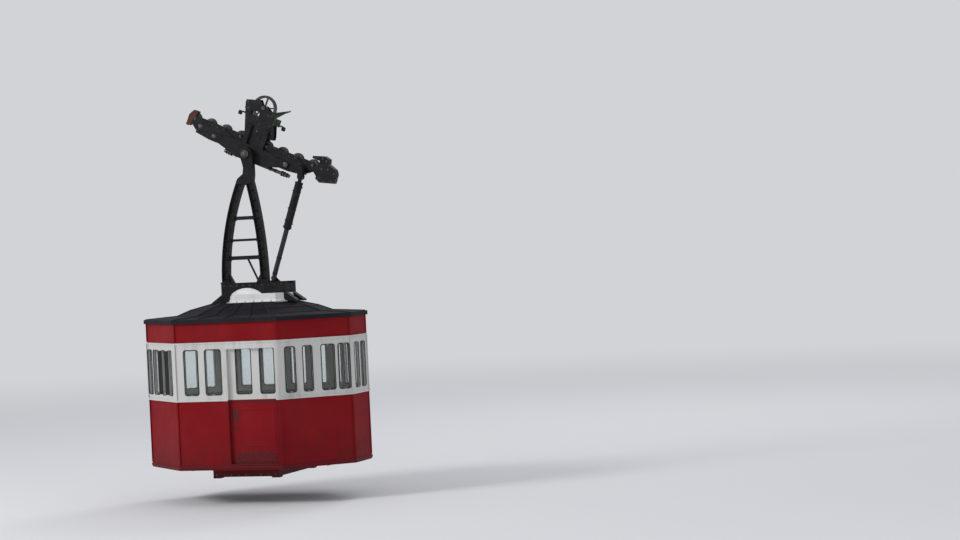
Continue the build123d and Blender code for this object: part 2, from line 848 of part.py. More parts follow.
# Base: two beams along the cabin, arched in the middle and with a wedge at each end, and two across
base_uphill = -455.0
base_downhill = 507.0
wedge_run = 155.0
arch_from = -314.0
arch_to = 150.0
arch_rise = 86.0
beam_w = 110.0
cross_width = 90.0
base_top = pivot_z + leg_foot
base_low = -hanger_drop
plinth_low = base_low - plinth_height
plinth_half = 400.0
with BuildPart() as base_frame:
    for y in (-hanger_mid, hanger_mid):
        with BuildSketch(hanger_plane(y + beam_w / 2)):
            with BuildLine():
                Polyline(
                    (base_uphill, leg_foot),
                    (base_downhill, leg_foot),
                    (base_downhill, base_low),
                    (arch_to, base_low),
                )
                ThreePointArc(
                    (arch_to, base_low),
                    ((arch_from + arch_to) / 2, base_low + arch_rise),
                    (arch_from, base_low),
                )
                Polyline(
                    (arch_from, base_low),
                    (base_uphill, base_low),
                    (base_uphill, leg_foot),
                )
            make_face()
            for edge, way, inner, tip_drop in (
                (base_uphill, -1, cabin_shift - plinth_half - 4, 0),
                (base_downhill, 1, cabin_shift + plinth_half + 4, 10),
            ):
                with BuildLine():
                    Polyline(
                        (inner, base_low),
                        (edge, base_low),
                        (edge + way * wedge_run, plinth_low + 12),
                        (edge + way * wedge_run, plinth_low + 1 - tip_drop),
                        (edge + way * 40, plinth_low + 1),
                        (inner, plinth_low + 1),
                        close=True,
                    )
                make_face()
        extrude(amount=beam_w)
    for x in (base_uphill + cross_width / 2, base_downhill - cross_width / 2):
        with BuildSketch(Plane.XY.offset(base_top - base_height + 20)):
            with Locations((pivot_x + x, 0)):
                Rectangle(cross_width, 2 * hanger_mid - beam_w)
        extrude(amount=base_height - 50)
keep(base_frame.part, "base_frame")

# Lug for the damper's foot, on the far side of the rod's eye
lug_y = -hanger_mid + foot_eye / 2 + run_gap
lug_plate = 16.0
with BuildPart() as damper_lug:
    with BuildSketch(upright_plane(lug_y + lug_plate)):
        with BuildLine():
            Polyline(
                (damper_foot[0] - 50, base_top),
                (damper_foot[0] - foot_eye_r, damper_foot[1]),
                (damper_foot[0] + foot_eye_r, damper_foot[1]),
                (damper_foot[0] + 90, base_top),
                close=True,
            )
        make_face()
        with BuildLine():
            Line((damper_foot[0] - foot_eye_r, damper_foot[1]), (damper_foot[0] + foot_eye_r, damper_foot[1]))
            ThreePointArc(
                (damper_foot[0] - foot_eye_r, damper_foot[1]),
                (damper_foot[0], damper_foot[1] + foot_eye_r),
                (damper_foot[0] + foot_eye_r, damper_foot[1]),
            )
        make_face()
    extrude(amount=lug_plate)
keep(damper_lug.part, "damper_lug")

# White plinth on the roof: a slab with cut corners and a raised block between the base beams
plinth_half_y = 280.0
plinth_cut = 120.0
block_half = 250.0
with BuildPart() as roof_plinth:
    with BuildSketch(Plane.XY.offset(foot_z - plinth_height)):
        with BuildLine():
            half_x = plinth_half
            half_y = plinth_half_y
            quarter = [(-half_x + plinth_cut, -half_y), (half_x - plinth_cut, -half_y)]
            quarter += [(half_x, -half_y + plinth_cut), (half_x, half_y - plinth_cut)]
            quarter += [(-x, -y) for x, y in quarter]
            Polyline(*[(cabin_x + x, y) for x, y in quarter], close=True)
        make_face()
    extrude(amount=plinth_height)
    with BuildSketch(Plane.XY.offset(foot_z)):
        with Locations((cabin_x, 0)):
            Rectangle(2 * block_half, 2 * hanger_mid - beam_w - 30)
    extrude(amount=arch_rise + 10)
keep(roof_plinth.part, "roof_plinth")

# Roof: a folded skin in three rings, with a raised middle that carries the plinth
roof_rows = [
    # height over the rim, scale of the plan
    (0.0, 1.0),
    (30.0, 0.71),
    (105.0, 0.585),
    (roof_rise, 0.37),
]
with BuildPart() as roof:
    for lower, upper in zip(roof_rows, roof_rows[1:]):
        with BuildSketch(Plane.XY.offset(rim_z + lower[0])):
            with BuildLine():
                Polyline(*scaled_octagon(lower[1]), close=True)
            make_face()
        with BuildSketch(Plane.XY.offset(rim_z + upper[0])):
            with BuildLine():
                Polyline(*scaled_octagon(upper[1]), close=True)
            make_face()
        loft(ruled=True)
keep(roof.part, "roof")

with BuildPart() as roof_rim:
    with BuildSketch(Plane.XY.offset(fascia_z)):
        with BuildLine():
            Polyline(*octagon(-rim_overhang), close=True)
        make_face()
        with BuildLine():
            Polyline(*octagon(wall), close=True)
        make_face(mode=Mode.SUBTRACT)
    extrude(amount=rim_height)
keep(roof_rim.part, "roof_rim")

with BuildPart() as ceiling:
    with BuildSketch(Plane.XY.offset(fascia_z - ceiling_thick)):
        with BuildLine():
            Polyline(*octagon(wall), close=True)
        make_face()
    extrude(amount=ceiling_thick)
keep(ceiling.part, "ceiling")

# Fascia panels above the windows
for name, faces in (
    ("fascia_long", long_faces),
    ("fascia_corner", corner_faces),
    ("fascia_end", end_faces),
):
    with BuildPart() as fascia:
        for face in faces:
            with BuildSketch(Plane.XY.offset(band_z)):
                with BuildLine():
                    Polyline(*segment(face, 0, wall), close=True)
                make_face()
            extrude(amount=fascia_height)
    keep(fascia.part, name)

# Lower walls. The long sides have a doorway from jamb_x to door_far_x.
for side, face in (("near", 0), ("far", 4)):
    with BuildPart() as lower_wall:
        with BuildSketch(Plane.XY.offset(wall_z)):
            with BuildLine():
                Polyline(*segment(face, 0, wall), close=True)
            make_face()
        extrude(amount=sill_height)
        with BuildSketch(face_plane(face, 0).offset(wall)):
            with Locations(((jamb_x + door_far_x) / 2, (doorway_low + doorway_high) / 2)):
                Rectangle(door_far_x - jamb_x, doorway_high - doorway_low)
        extrude(amount=-3 * wall, mode=Mode.SUBTRACT)
    keep(lower_wall.part, f"lower_wall_{side}")

for name, faces in (("lower_walls_corner", corner_faces), ("lower_walls_end", end_faces)):
    with BuildPart() as lower_walls:
        for face in faces:
            with BuildSketch(Plane.XY.offset(wall_z)):
                with BuildLine():
                    Polyline(*segment(face, 0, wall), close=True)
                make_face()
            extrude(amount=sill_height)
    keep(lower_walls.part, name)

# Window panes: each row is post, pane, post and so on along a face, stretched to fill it
def spaced(start, end, row):
    """Middle and width of each pane in a row of posts and panes that fills start to end."""
    share = (end - start) / sum(row)
    edges = [start + share * sum(row[:count]) for count in range(len(row) + 1)]
    return [((a + b) / 2, b - a) for a, b in zip(edges[1::2], edges[2::2])]


long_row = [139.0, 206.0, 104.0, 236.0, 83.0]
door_row = [110.0, 226.0, 125.0, 212.0, 29.0]
corner_row = [102.4722, 152.0, 111.0, 140.0, 131.0, 200.0, 53.0, 170.0, 29.4722]
end_row = [100.5, 164.0, 76.0, 164.0, 100.5]
long_panes = spaced(-long_half, jamb_x, long_row)
door_panes = spaced(jamb_x, door_far_x, door_row)
corner_panes = spaced(-corner_half, corner_half, corner_row)
turned_panes = [(-middle, width) for middle, width in corner_panes]
end_panes = spaced(-end_half, end_half, end_row)
band_height = band_z - sill_z
pane_mid = opening_z - wall_z + window_height / 2


for name, faces, panes in (
    ("window_frame_near", long_faces[:1], long_panes),
    ("window_frame_far", long_faces[1:], long_panes),
    ("window_frames_corner", corner_faces, corner_panes),
    ("window_frames_end", end_faces, end_panes),
):
    with BuildPart() as frames:
        for face in faces:
            with BuildSketch(Plane.XY.offset(sill_z)):
                with BuildLine():
                    Polyline(*segment(face, -proud, wall), close=True)
                make_face()
            extrude(amount=band_height)
            with BuildSketch(face_plane(face, -proud).offset(wall)):
                for middle, width in (turned_panes if face in turned_faces else panes):
                    with Locations((middle, pane_mid)):
                        RectangleRounded(width, window_height, window_corner)
                if face in long_faces:
                    low = sill_height - floor_drop
                    with Locations(((jamb_x + door_far_x) / 2, (low + doorway_high) / 2)):
                        Rectangle(door_far_x - jamb_x, doorway_high - low)
            extrude(amount=-3 * wall, mode=Mode.SUBTRACT)
    keep(frames.part, name)

# Window glass, each pane held in the middle of its frame
with BuildPart() as window_glass:
    for faces, panes in ((long_faces, long_panes), (corner_faces, corner_panes), (end_faces, end_panes)):
        for face in faces:
            plane = face_plane(face, (wall - proud + glass_thick) / 2)
            with BuildSketch(plane):
                for middle, width in (turned_panes if face in turned_faces else panes):
                    with Locations((middle, pane_mid)):
                        RectangleRounded(width, window_height, window_corner)
            extrude(amount=glass_thick)
keep(window_glass.part, "window_glass")

# Sliding doors, inside the walls
door_inset = wall + door_gap
leaf_from = jamb_x - door_lap
leaf_to = door_far_x + door_lap
leaf_low = doorway_low + door_gap
leaf_high = doorway_high + 50
for side, face in (("near", 0), ("far", 4)):
    plane = face_plane(face, door_inset)
    with BuildPart() as door_leaf:
        with BuildSketch(plane):
            with Locations(((leaf_from + leaf_to) / 2, (leaf_low + sill_height) / 2)):
                Rectangle(leaf_to - leaf_from, sill_height - leaf_low)
        extrude(amount=-door_thick)
    keep(door_leaf.part, f"door_leaf_{side}")
    with BuildPart() as door_frame:
        with BuildSketch(plane):
            with Locations(((leaf_from + leaf_to) / 2, (sill_height + leaf_high) / 2)):
                Rectangle(leaf_to - leaf_from, leaf_high - sill_height)
            for middle, width in door_panes:
                with Locations((middle, pane_mid)):
                    RectangleRounded(width, window_height, window_corner, mode=Mode.SUBTRACT)
        extrude(amount=-door_thick)
    keep(door_frame.part, f"door_frame_{side}")
    with BuildPart() as door_glass:
        with BuildSketch(plane.offset(-(door_thick - glass_thick) / 2)):
            for middle, width in door_panes:
                with Locations((middle, pane_mid)):
                    RectangleRounded(width, window_height, window_corner)
        extrude(amount=-glass_thick)
    keep(door_glass.part, f"door_glass_{side}")

# Door tracks, over and under each leaf's travel
with BuildPart() as door_tracks:
    for face in long_faces:
        plane = face_plane(face, wall)
        top = leaf_high + run_gap
        with BuildSketch(plane):
            with Locations(((leaf_from - door_travel + leaf_to) / 2, top + 20)):
                Rectangle(leaf_to - leaf_from + door_travel - 40, 40)
        extrude(amount=-door_gap - door_thick - 8)
        with BuildSketch(plane.offset(-door_gap - door_thick - run_gap)):
            with Locations(((leaf_from - door_travel + leaf_to) / 2, doorway_low + 16)):
                Rectangle(leaf_to - leaf_from + door_travel - 40, 32)
        extrude(amount=-10)
keep(door_tracks.part, "door_tracks")

# Floor inside the walls
with BuildPart() as floor:
    with BuildSketch(Plane.XY.offset(wall_z + floor_drop)):
        with BuildLine():
            Polyline(*octagon(wall), close=True)
        make_face()
    extrude(amount=floor_thick)
keep(floor.part, "floor")

# Handrail: bars inside the corner and end faces
with BuildPart() as handrails:
    for face in (1, 2, 3, 5, 6, 7):
        plane = face_plane(face, wall + 45)
        ring = octagon(wall + 45)
        a = ring[face]
        b = ring[(face + 1) % 8]
        run = hypot(b[0] - a[0], b[1] - a[1])
        bar = run - 160
        with BuildSketch(plane.offset(14)):
            with Locations((0, sill_height - 40)):
                Rectangle(bar, 28)
        extrude(amount=-28)
        with BuildSketch(plane.offset(14)):
            with Locations((-bar / 2 + 20, sill_height - 40), (bar / 2 - 20, sill_height - 40)):
                Rectangle(24, 24)
        extrude(amount=31)
keep(handrails.part, "handrails")

# Underframe: side and cross plates below the walls, in line with the swing pin, with feet at its corners
frame_low = wall_z - frame_height
with BuildPart() as underframe_sides:
    with BuildSketch(Plane.XY.offset(frame_low)):
        with Locations((pivot_x, -frame_width / 2 + frame_plate / 2), (pivot_x, frame_width / 2 - frame_plate / 2)):
            Rectangle(frame_length, frame_plate)
    extrude(amount=frame_height + floor_drop)
keep(underframe_sides.part, "underframe_sides")

with BuildPart() as underframe_ends:
    with BuildSketch(Plane.XY.offset(frame_low)):
        for x in (-frame_length / 2 + frame_plate / 2, frame_length / 2 - frame_plate / 2):
            with Locations((pivot_x + x, 0)):
                Rectangle(frame_plate, frame_width - 2 * frame_plate)
    extrude(amount=frame_height + floor_drop)
keep(underframe_ends.part, "underframe_ends")

with BuildPart() as landing_feet:
    with BuildSketch(Plane.XY.offset(frame_low - foot_height)):
        for x in (-1, 1):
            for y in (-1, 1):
                with Locations((
                    pivot_x + x * (frame_length / 2 - foot_size / 2),
                    y * (frame_width / 2 - foot_size / 2),
                )):
                    Rectangle(foot_size, foot_size)
    extrude(amount=foot_height)
keep(landing_feet.part, "landing_feet")

print(len(made), "nodes", made)
print("pivot", round(pivot_x, 2), round(pivot_z, 2), "foot", round(wall_z, 1), "low", round(frame_low, 1))
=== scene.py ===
"""Aerial cable car: red eight-sided cabin, dark hanger and eight-wheel carriage, dressed around its frame."""
import json
import math

import bpy
import numpy as np
from mathutils import Matrix, Vector


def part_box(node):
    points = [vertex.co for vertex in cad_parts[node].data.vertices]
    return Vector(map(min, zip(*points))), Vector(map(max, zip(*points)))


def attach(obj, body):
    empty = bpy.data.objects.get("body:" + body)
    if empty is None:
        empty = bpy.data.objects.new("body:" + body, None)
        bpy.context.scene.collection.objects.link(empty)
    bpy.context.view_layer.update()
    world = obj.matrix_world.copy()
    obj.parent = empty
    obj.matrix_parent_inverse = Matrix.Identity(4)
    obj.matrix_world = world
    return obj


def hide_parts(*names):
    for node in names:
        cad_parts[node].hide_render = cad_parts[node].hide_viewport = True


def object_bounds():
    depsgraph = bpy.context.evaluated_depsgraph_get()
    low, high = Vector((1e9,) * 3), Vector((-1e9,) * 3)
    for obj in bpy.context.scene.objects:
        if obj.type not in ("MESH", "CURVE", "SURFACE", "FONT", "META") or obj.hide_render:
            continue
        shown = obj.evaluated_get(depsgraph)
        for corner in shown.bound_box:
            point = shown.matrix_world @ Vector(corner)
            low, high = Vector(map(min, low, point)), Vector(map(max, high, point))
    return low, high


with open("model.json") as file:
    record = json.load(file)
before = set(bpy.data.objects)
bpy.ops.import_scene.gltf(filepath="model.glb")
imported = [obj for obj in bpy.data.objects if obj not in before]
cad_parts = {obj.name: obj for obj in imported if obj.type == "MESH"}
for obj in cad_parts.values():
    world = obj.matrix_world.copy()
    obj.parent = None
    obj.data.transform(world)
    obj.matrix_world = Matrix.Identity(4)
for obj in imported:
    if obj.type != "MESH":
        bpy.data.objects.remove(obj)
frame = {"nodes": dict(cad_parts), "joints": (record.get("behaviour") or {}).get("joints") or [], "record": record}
cad_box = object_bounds()
nodes = frame["nodes"]


# Sizes of the frame, read from its nodes, in metres


def low(node):
    """Lowest corner of a node."""
    return np.array(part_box(node)[0])


def high(node):
    """Highest corner of a node."""
    return np.array(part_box(node)[1])


joints = {joint["name"]: joint for joint in frame["joints"]}
pivot = np.array(joints["hanger_swing"]["pos_m"])
cabin_x = pivot[0] - 0.05
half_length = (high("lower_walls_end")[0] - low("lower_walls_end")[0]) / 2
half_width = (high("lower_wall_far")[1] - low("lower_wall_near")[1]) / 2
long_half = (high("lower_wall_near")[0] - low("lower_wall_near")[0]) / 2
corner_cut = half_length - long_half
foot_z = low("lower_wall_near")[2]
sill_z = high("lower_wall_near")[2]
band_z = low("fascia_long")[2]
fascia_top = high("fascia_long")[2]
rim_z = high("roof_rim")[2]
wall_gap = 0.08
rope_slope = math.radians(23.5)
rope_along = np.array([math.cos(rope_slope), 0.0, -math.sin(rope_slope)])
rope_up = np.array([math.sin(rope_slope), 0.0, math.cos(rope_slope)])


def octagon(inset):
    """Plan corners of the cabin moved inwards by inset, from the near long side onwards."""
    half_x = half_length - inset
    half_y = half_width - inset
    cut = corner_cut - inset * (2 - math.sqrt(2))
    ring = [(-half_x + cut, -half_y), (half_x - cut, -half_y), (half_x, -half_y + cut), (half_x, half_y - cut)]
    ring += [(-x, -y) for x, y in ring]
    return np.array([(cabin_x + x, y) for x, y in ring])


# Mesh tools: every new piece is a surface on a grid of two parameters, or copies of one such surface

sharp_edge = math.radians(38)


def outward(points, faces):
    """Faces turned so that the closed surface's volume, a sum of corner products, is positive."""
    corner = points[faces[:, :4]]
    halves = np.einsum("fi,fi->f", corner[:, 0], np.cross(corner[:, 1], corner[:, 2]))
    halves += np.einsum("fi,fi->f", corner[:, 0], np.cross(corner[:, 2], corner[:, 3]))
    return faces if halves.sum() >= 0 else faces[:, ::-1]


def add_object(name, data):
    """A new object in the scene."""
    thing = bpy.data.objects.new(name, data)
    bpy.context.scene.collection.objects.link(thing)
    return thing


def make_piece(name, shape, body, slot, smooth=True, finish=None):
    """A mesh piece from arrays of points and quads, riding on a body, in its slot's finish or one of its own."""
    points, faces = shape
    faces = outward(points - points.mean(0), faces)
    mesh = bpy.data.meshes.new(name)
    mesh.from_pydata(points.tolist(), [], faces.tolist())
    mesh.update()
    if smooth:
        mesh.shade_smooth()
        mesh.set_sharp_from_angle(angle=sharp_edge)
    piece = add_object(name, mesh)
    mesh.materials.append(finishes[finish or slot])
    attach(piece, body)
    return piece


def join(shapes):
    """Several shapes as one set of points and quads."""
    shapes = list(shapes)
    starts = np.cumsum([0] + [len(points) for points, faces in shapes[:-1]])
    return (np.vstack([points for points, faces in shapes]),
            np.vstack([faces + start for (points, faces), start in zip(shapes, starts)]))


def grid_faces(rows, columns, close_rows=False):
    """Quads of a grid of rows by columns points, whose columns close into a ring."""
    row = np.arange(rows if close_rows else rows - 1)[:, None]
    column = np.arange(columns)[None]
    ahead = (row + 1) % rows
    beside = (column + 1) % columns
    corners = (row * columns + column, row * columns + beside, ahead * columns + beside, ahead * columns + column)
    return np.stack([np.broadcast_to(c, (len(row), columns)) for c in corners], -1).reshape(-1, 4)


def cap_faces(first, count):
    """Quads that fill a ring of an even count of points, as strips between its two sides."""
    k = np.arange(count // 2 - 1)
    return np.stack([k, k + 1, count - 2 - k, count - 1 - k], -1) + first


def capped(points, rows, columns):
    """A tube of rows rings with both ends filled; caps are wound against the first and with the last ring."""
    first = cap_faces(0, columns)[:, ::-1]
    last = cap_faces((rows - 1) * columns, columns)
    return points.reshape(-1, 3), np.vstack([grid_faces(rows, columns), first, last])


def revolved(profile, sides):
    """Rings of points (radius cos a, radius sin a, height) for radius and height along a profile."""
    profile = np.asarray(profile, float)
    angle = np.linspace(0, 2 * math.pi, sides, endpoint=False)
    radius = profile[:, :1]
    return np.stack([radius * np.cos(angle), radius * np.sin(angle), np.repeat(profile[:, 1:2], sides, 1)], -1)


def turned(profile, sides=12):
    """Surface of revolution with both ends filled."""
    return capped(revolved(profile, sides), len(profile), sides)


def hoop(profile, sides, placing):
    """A closed profile turned into a ring with an open bore, placed by a 4 by 4 matrix."""
    return repeat((revolved(profile, sides).reshape(-1, 3), grid_faces(len(profile), sides, True)), [placing])


def swept(path, section, closed=False, up=(0, 0, 1)):
    """A section of (across, rise) pairs carried along a path: path + across a + rise b, mitred at each corner."""
    path = np.asarray(path, float)
    section = np.asarray(section, float)
    if closed:
        ahead = np.roll(path, -1, 0) - path
        behind = path - np.roll(path, 1, 0)
    else:
        steps = np.diff(path, axis=0)
        ahead = np.vstack([steps, steps[-1:]])
        behind = np.vstack([steps[:1], steps])
    ahead /= np.linalg.norm(ahead, axis=1, keepdims=True)
    behind /= np.linalg.norm(behind, axis=1, keepdims=True)
    run = ahead + behind
    run /= np.linalg.norm(run, axis=1, keepdims=True)
    across = np.cross(run, np.asarray(up, float))
    across /= np.linalg.norm(across, axis=1, keepdims=True)
    rise = np.cross(across, run)
    mitre = 1.0 / np.sum(run * ahead, axis=1)[:, None, None]
    points = path[:, None] + across[:, None] * section[None, :, :1] * mitre + rise[:, None] * section[None, :, 1:]
    if closed:
        return points.reshape(-1, 3), grid_faces(len(path), len(section), True)
    return capped(points, len(path), len(section))


def ring_section(radius, sides=8, start=0.0):
    """Places evenly round a circle as (across, rise) pairs, the first at angle start."""
    angle = start + np.linspace(0, 2 * math.pi, sides, endpoint=False)
    return np.stack([radius * np.cos(angle), radius * np.sin(angle)], -1)


def box_section(width, height, bevel=0.0015):
    """A rectangle with bevelled corners as (across, rise) pairs."""
    a, b = width / 2, height / 2
    c = min(bevel, a * 0.6, b * 0.6)
    half = [(a, -b + c), (a, b - c), (a - c, b), (-a + c, b)]
    return np.array(half + [(-x, -y) for x, y in half])


def frame_at(place, out, up=(0, 0, 1)):
    """Matrix with its third axis along out and its first as near to up as it can be."""
    out = np.asarray(out, float) / np.linalg.norm(out)
    up = np.asarray(up, float)
    first = up - out * (up @ out)
    if np.linalg.norm(first) < 0.1:
        first = np.array([1.0, 0.0, 0.0]) - out * out[0]
    first /= np.linalg.norm(first)
    matrix = np.eye(4)
    matrix[:3, :3] = np.stack([first, np.cross(out, first), out], 1)
    matrix[:3, 3] = place
    return matrix


def repeat(shape, placings):
    """Copies of one small shape, placed by 4 by 4 matrices."""
    points, faces = shape
    placings = np.asarray(placings, float)
    moved = np.einsum("nij,pj->npi", placings[:, :3, :3], points) + placings[:, None, :3, 3]
    shifts = np.arange(len(placings))[:, None, None] * len(points)
    return moved.reshape(-1, 3), (faces[None] + shifts).reshape(-1, 4)


def studded(shape, spots, out, up=(0, 0, 1)):
    """Copies of a shape at some spots, all facing out."""
    return repeat(shape, [frame_at(spot, out, up) for spot in spots])


def block(place, size, out=(0, 0, 1), up=(0, 0, 1), bevel=0.002):
    """A bevelled box of size (along up, beside it, along out) with its foot on place."""
    length, width, height = size
    c = min(bevel, min(size) * 0.3)
    rings = [box_section(length - 2 * c, width - 2 * c, c), box_section(length, width, c),
             box_section(length, width, c), box_section(length - 2 * c, width - 2 * c, c)]
    levels = (0.0, c, height - c, height)
    points = np.stack([np.hstack([ring, np.full((8, 1), level)]) for ring, level in zip(rings, levels)])
    return repeat(capped(points, 4, 8), [frame_at(place, out, up)])


def rivet(radius, height):
    """A domed head."""
    return turned([(radius, 0), (radius * 0.86, height * 0.62), (radius * 0.4, height)], 8)


def collar(inner, outer, length, bevel=0.003):
    """Profile of a band, bevelled at both ends, for turned."""
    return [(inner, 0), (outer, bevel), (outer, length - bevel), (inner, length)]


def hex_bolt(radius, height):
    """A washer with a six-sided head and a stud end."""
    washer = turned([(radius * 1.45, 0), (radius * 1.45, height * 0.25)], 12)
    head = turned([(radius, height * 0.2), (radius, height * 0.85), (radius * 0.86, height)], 6)
    stud = turned([(radius * 0.5, height * 0.9), (radius * 0.5, height * 1.35), (radius * 0.4, height * 1.45)], 8)
    return join([washer, head, stud])


def wall_point(face, u, v, out=0.0):
    """Points on a cabin face: u along it from its middle, v over its foot, out from the wall."""
    ring = octagon(0.0)
    a, b = ring[face], ring[(face + 1) % 8]
    run = (b - a) / np.linalg.norm(b - a)
    middle = (a + b) / 2
    u, v, out = np.broadcast_arrays(np.asarray(u, float), v, out)
    flat = middle + u[..., None] * run + out[..., None] * np.array([run[1], -run[0]])
    return np.concatenate([flat, (foot_z + v)[..., None]], -1)


def wall_out(face):
    """Outward direction of a cabin face."""
    a, b = wall_point(face, 0.0, 0.0), wall_point(face, 0.0, 0.0, 1.0)
    return b - a


def face_length(face):
    """Width of a cabin face."""
    ring = octagon(0.0)
    return np.linalg.norm(ring[(face + 1) % 8] - ring[face])


def floor_strip(place, half_run, half_side):
    """Length of a strip across the floor, beside its middle line at place, clear of the walls by wall_gap."""
    return 2 * (half_run - wall_gap - max(0.0, abs(place) - (half_side - corner_cut)))


def ring_path(inset, z):
    """Plan of the cabin at a height, as a closed path."""
    ring = octagon(inset)
    return np.hstack([ring, np.full((8, 1), z)])


def rope_point(s, h, y=0.0):
    """Point at s along the track rope and h over it."""
    return rope_along * s + rope_up * h + np.array([0.0, y, 0.0])


# Materials

paint_gloss = 0.14


class Finish:
    """A node tree that is built up from noise on Object coordinates into one surface."""

    def __init__(self, name):
        self.material = bpy.data.materials.new(name)
        self.material.use_nodes = True
        self.tree = self.material.node_tree
        self.tree.nodes.clear()
        self.output = self.tree.nodes.new("ShaderNodeOutputMaterial")
        self.shader = self.tree.nodes.new("ShaderNodeBsdfPrincipled")
        self.tree.links.new(self.shader.outputs[0], self.output.inputs[0])
        self.coordinates = self.tree.nodes.new("ShaderNodeTexCoord").outputs["Object"]

    def link(self, value, socket):
        """A socket is linked, and anything else is set."""
        if isinstance(value, bpy.types.NodeSocket):
            self.tree.links.new(value, socket)
        else:
            socket.default_value = value

    def node(self, kind, **inputs):
        """A new node with some of its inputs set or linked."""
        node = self.tree.nodes.new("ShaderNode" + kind)
        for name, value in inputs.items():
            self.link(value, node.inputs[name.replace("_", " ")])
        return node

    def noise(self, scale, detail=4.0, stretch=(1, 1, 1), roughness=0.55):
        """Smooth noise between 0 and 1, on coordinates scaled along each axis."""
        mapped = self.node("Mapping", Scale=stretch, Vector=self.coordinates).outputs[0]
        return self.node("TexNoise", Scale=scale, Detail=detail, Roughness=roughness, Vector=mapped).outputs["Fac"]

    def height(self):
        """Height of a point over the origin."""
        return self.node("SeparateXYZ", Vector=self.coordinates).outputs["Z"]

    def spread(self, value, start, end):
        """A value stretched so that start gives 0 and end gives 1."""
        return self.node("MapRange", Value=value, From_Min=start, From_Max=end).outputs[0]

    def reckon(self, operation, a, b):
        """Two values put together by a sum, a product or the like."""
        node = self.node("Math")
        node.operation = operation
        self.link(a, node.inputs[0])
        self.link(b, node.inputs[1])
        return node.outputs[0]

    def times(self, a, b):
        """Product of two values."""
        return self.reckon("MULTIPLY", a, b)

    def plus(self, a, b):
        """Sum of two values."""
        return self.reckon("ADD", a, b)

    def blend(self, share, first, second):
        """Colour that goes from first to second as share goes from 0 to 1."""
        node = self.tree.nodes.new("ShaderNodeMix")
        node.data_type = "RGBA"
        self.link(share, node.inputs[0])
        for value, socket in ((first, node.inputs[6]), (second, node.inputs[7])):
            self.link((*value, 1.0) if isinstance(value, tuple) else value, socket)
        return node.outputs[2]

    def relief(self, height, depth, strength=1.0):
        """Bump of a height value, depth in metres."""
        bump = self.node("Bump", Distance=depth, Strength=strength, Height=height)
        self.link(bump.outputs[0], self.shader.inputs["Normal"])

    def mix_in(self, share, other):
        """Shows the shader where share is 0 and another node's surface where it is 1."""
        mixed = self.node("MixShader")
        for value, socket in zip((share, self.shader.outputs[0], other.outputs[0]), mixed.inputs):
            self.link(value, socket)
        self.link(mixed.outputs[0], self.output.inputs["Surface"])

    def surface(self, colour, roughness, metallic=0.0, **more):
        """Sets the shader's main sockets and gives back the material."""
        self.link((*colour, 1.0) if isinstance(colour, tuple) else colour, self.shader.inputs["Base Color"])
        self.link(roughness, self.shader.inputs["Roughness"])
        self.link(metallic, self.shader.inputs["Metallic"])
        for name, value in more.items():
            self.link(value, self.shader.inputs[name.replace("_", " ")])
        return self.material


def painted_metal(name, colour, faded, dirt, roughness, streaks=0.5, grime_top=None, gloss=paint_gloss):
    """Enamel on sheet: faded patches, rain streaks down the walls, a fine orange peel and soft dents."""
    finish = Finish(name)
    patches = finish.spread(finish.noise(1.3, 5), 0.35, 0.7)
    tint = finish.blend(finish.times(patches, 0.55), colour, faded)
    rain = finish.spread(finish.noise(9, 5, (1, 1, 0.08)), 0.52, 0.78)
    share = finish.times(rain, streaks)
    if grime_top is not None:
        share = finish.plus(share, finish.times(finish.spread(finish.height(), grime_top, foot_z), 0.6))
        share = finish.times(share, finish.spread(finish.noise(6, 6), 0.25, 0.7))
    tint = finish.blend(share, tint, dirt)
    fine = finish.noise(160, 3)
    dents = finish.noise(2.2, 2)
    finish.relief(finish.plus(finish.times(fine, 0.012), dents), 0.004, 0.5)
    worn = finish.plus(finish.times(finish.noise(5, 5), 0.22), roughness - 0.1)
    return finish.surface(tint, worn, Specular_IOR_Level=gloss)


def rusted_paint(name, colour, rust, share, roughness):
    """Thick dark paint over steel: grey dust in soft fields, brown rust breaking through in specks and runs."""
    finish = Finish(name)
    specks = finish.spread(finish.noise(34, 7), 0.56, 0.70)
    fields = finish.spread(finish.noise(3.2, 4), 0.35, 0.65)
    runs = finish.spread(finish.noise(26, 4, (1, 1, 0.12)), 0.60, 0.82)
    rusted = finish.times(finish.plus(specks, finish.times(runs, 0.5)), fields)
    tint = finish.blend(finish.times(finish.spread(finish.noise(9, 5), 0.4, 0.75), 0.6), colour,
                        tuple(min(1.0, c * 1.8 + 0.012) for c in colour))
    tint = finish.blend(finish.times(rusted, share), tint, rust)
    finish.relief(finish.plus(finish.noise(70, 5), finish.times(specks, 0.6)), 0.0015, 0.6)
    worn = finish.plus(finish.times(finish.noise(18, 5), 0.3), roughness - 0.15)
    return finish.surface(tint, worn, Specular_IOR_Level=paint_gloss)


def bare_steel(name, colour, grease, roughness):
    """Handled steel with grease in the hollows and fine scratches."""
    finish = Finish(name)
    film = finish.spread(finish.noise(14, 6), 0.42, 0.66)
    tint = finish.blend(film, colour, grease)
    finish.relief(finish.noise(220, 3, (1, 1, 0.2)), 0.0006, 0.5)
    worn = finish.plus(finish.times(film, 0.25), roughness)
    metal = finish.spread(film, 1.3, 0.0)
    return finish.surface(tint, worn, metal)


def window_pane(name):
    """Thin clear glass with a faint green and streaks of dust; a lamp's light passes straight through it."""
    finish = Finish(name)
    dust = finish.spread(finish.noise(7, 6, (1, 1, 0.35)), 0.4, 0.8)
    rough = finish.plus(finish.times(dust, 0.12), 0.03)
    material = finish.surface((0.86, 0.9, 0.9), rough, IOR=1.18, Transmission_Weight=0.96)
    finish.relief(finish.noise(1.5, 2), 0.002, 0.3)
    through = finish.node("BsdfTransparent", Color=(0.8, 0.84, 0.84, 1.0))
    finish.mix_in(finish.node("LightPath").outputs["Is Shadow Ray"], through)
    return material


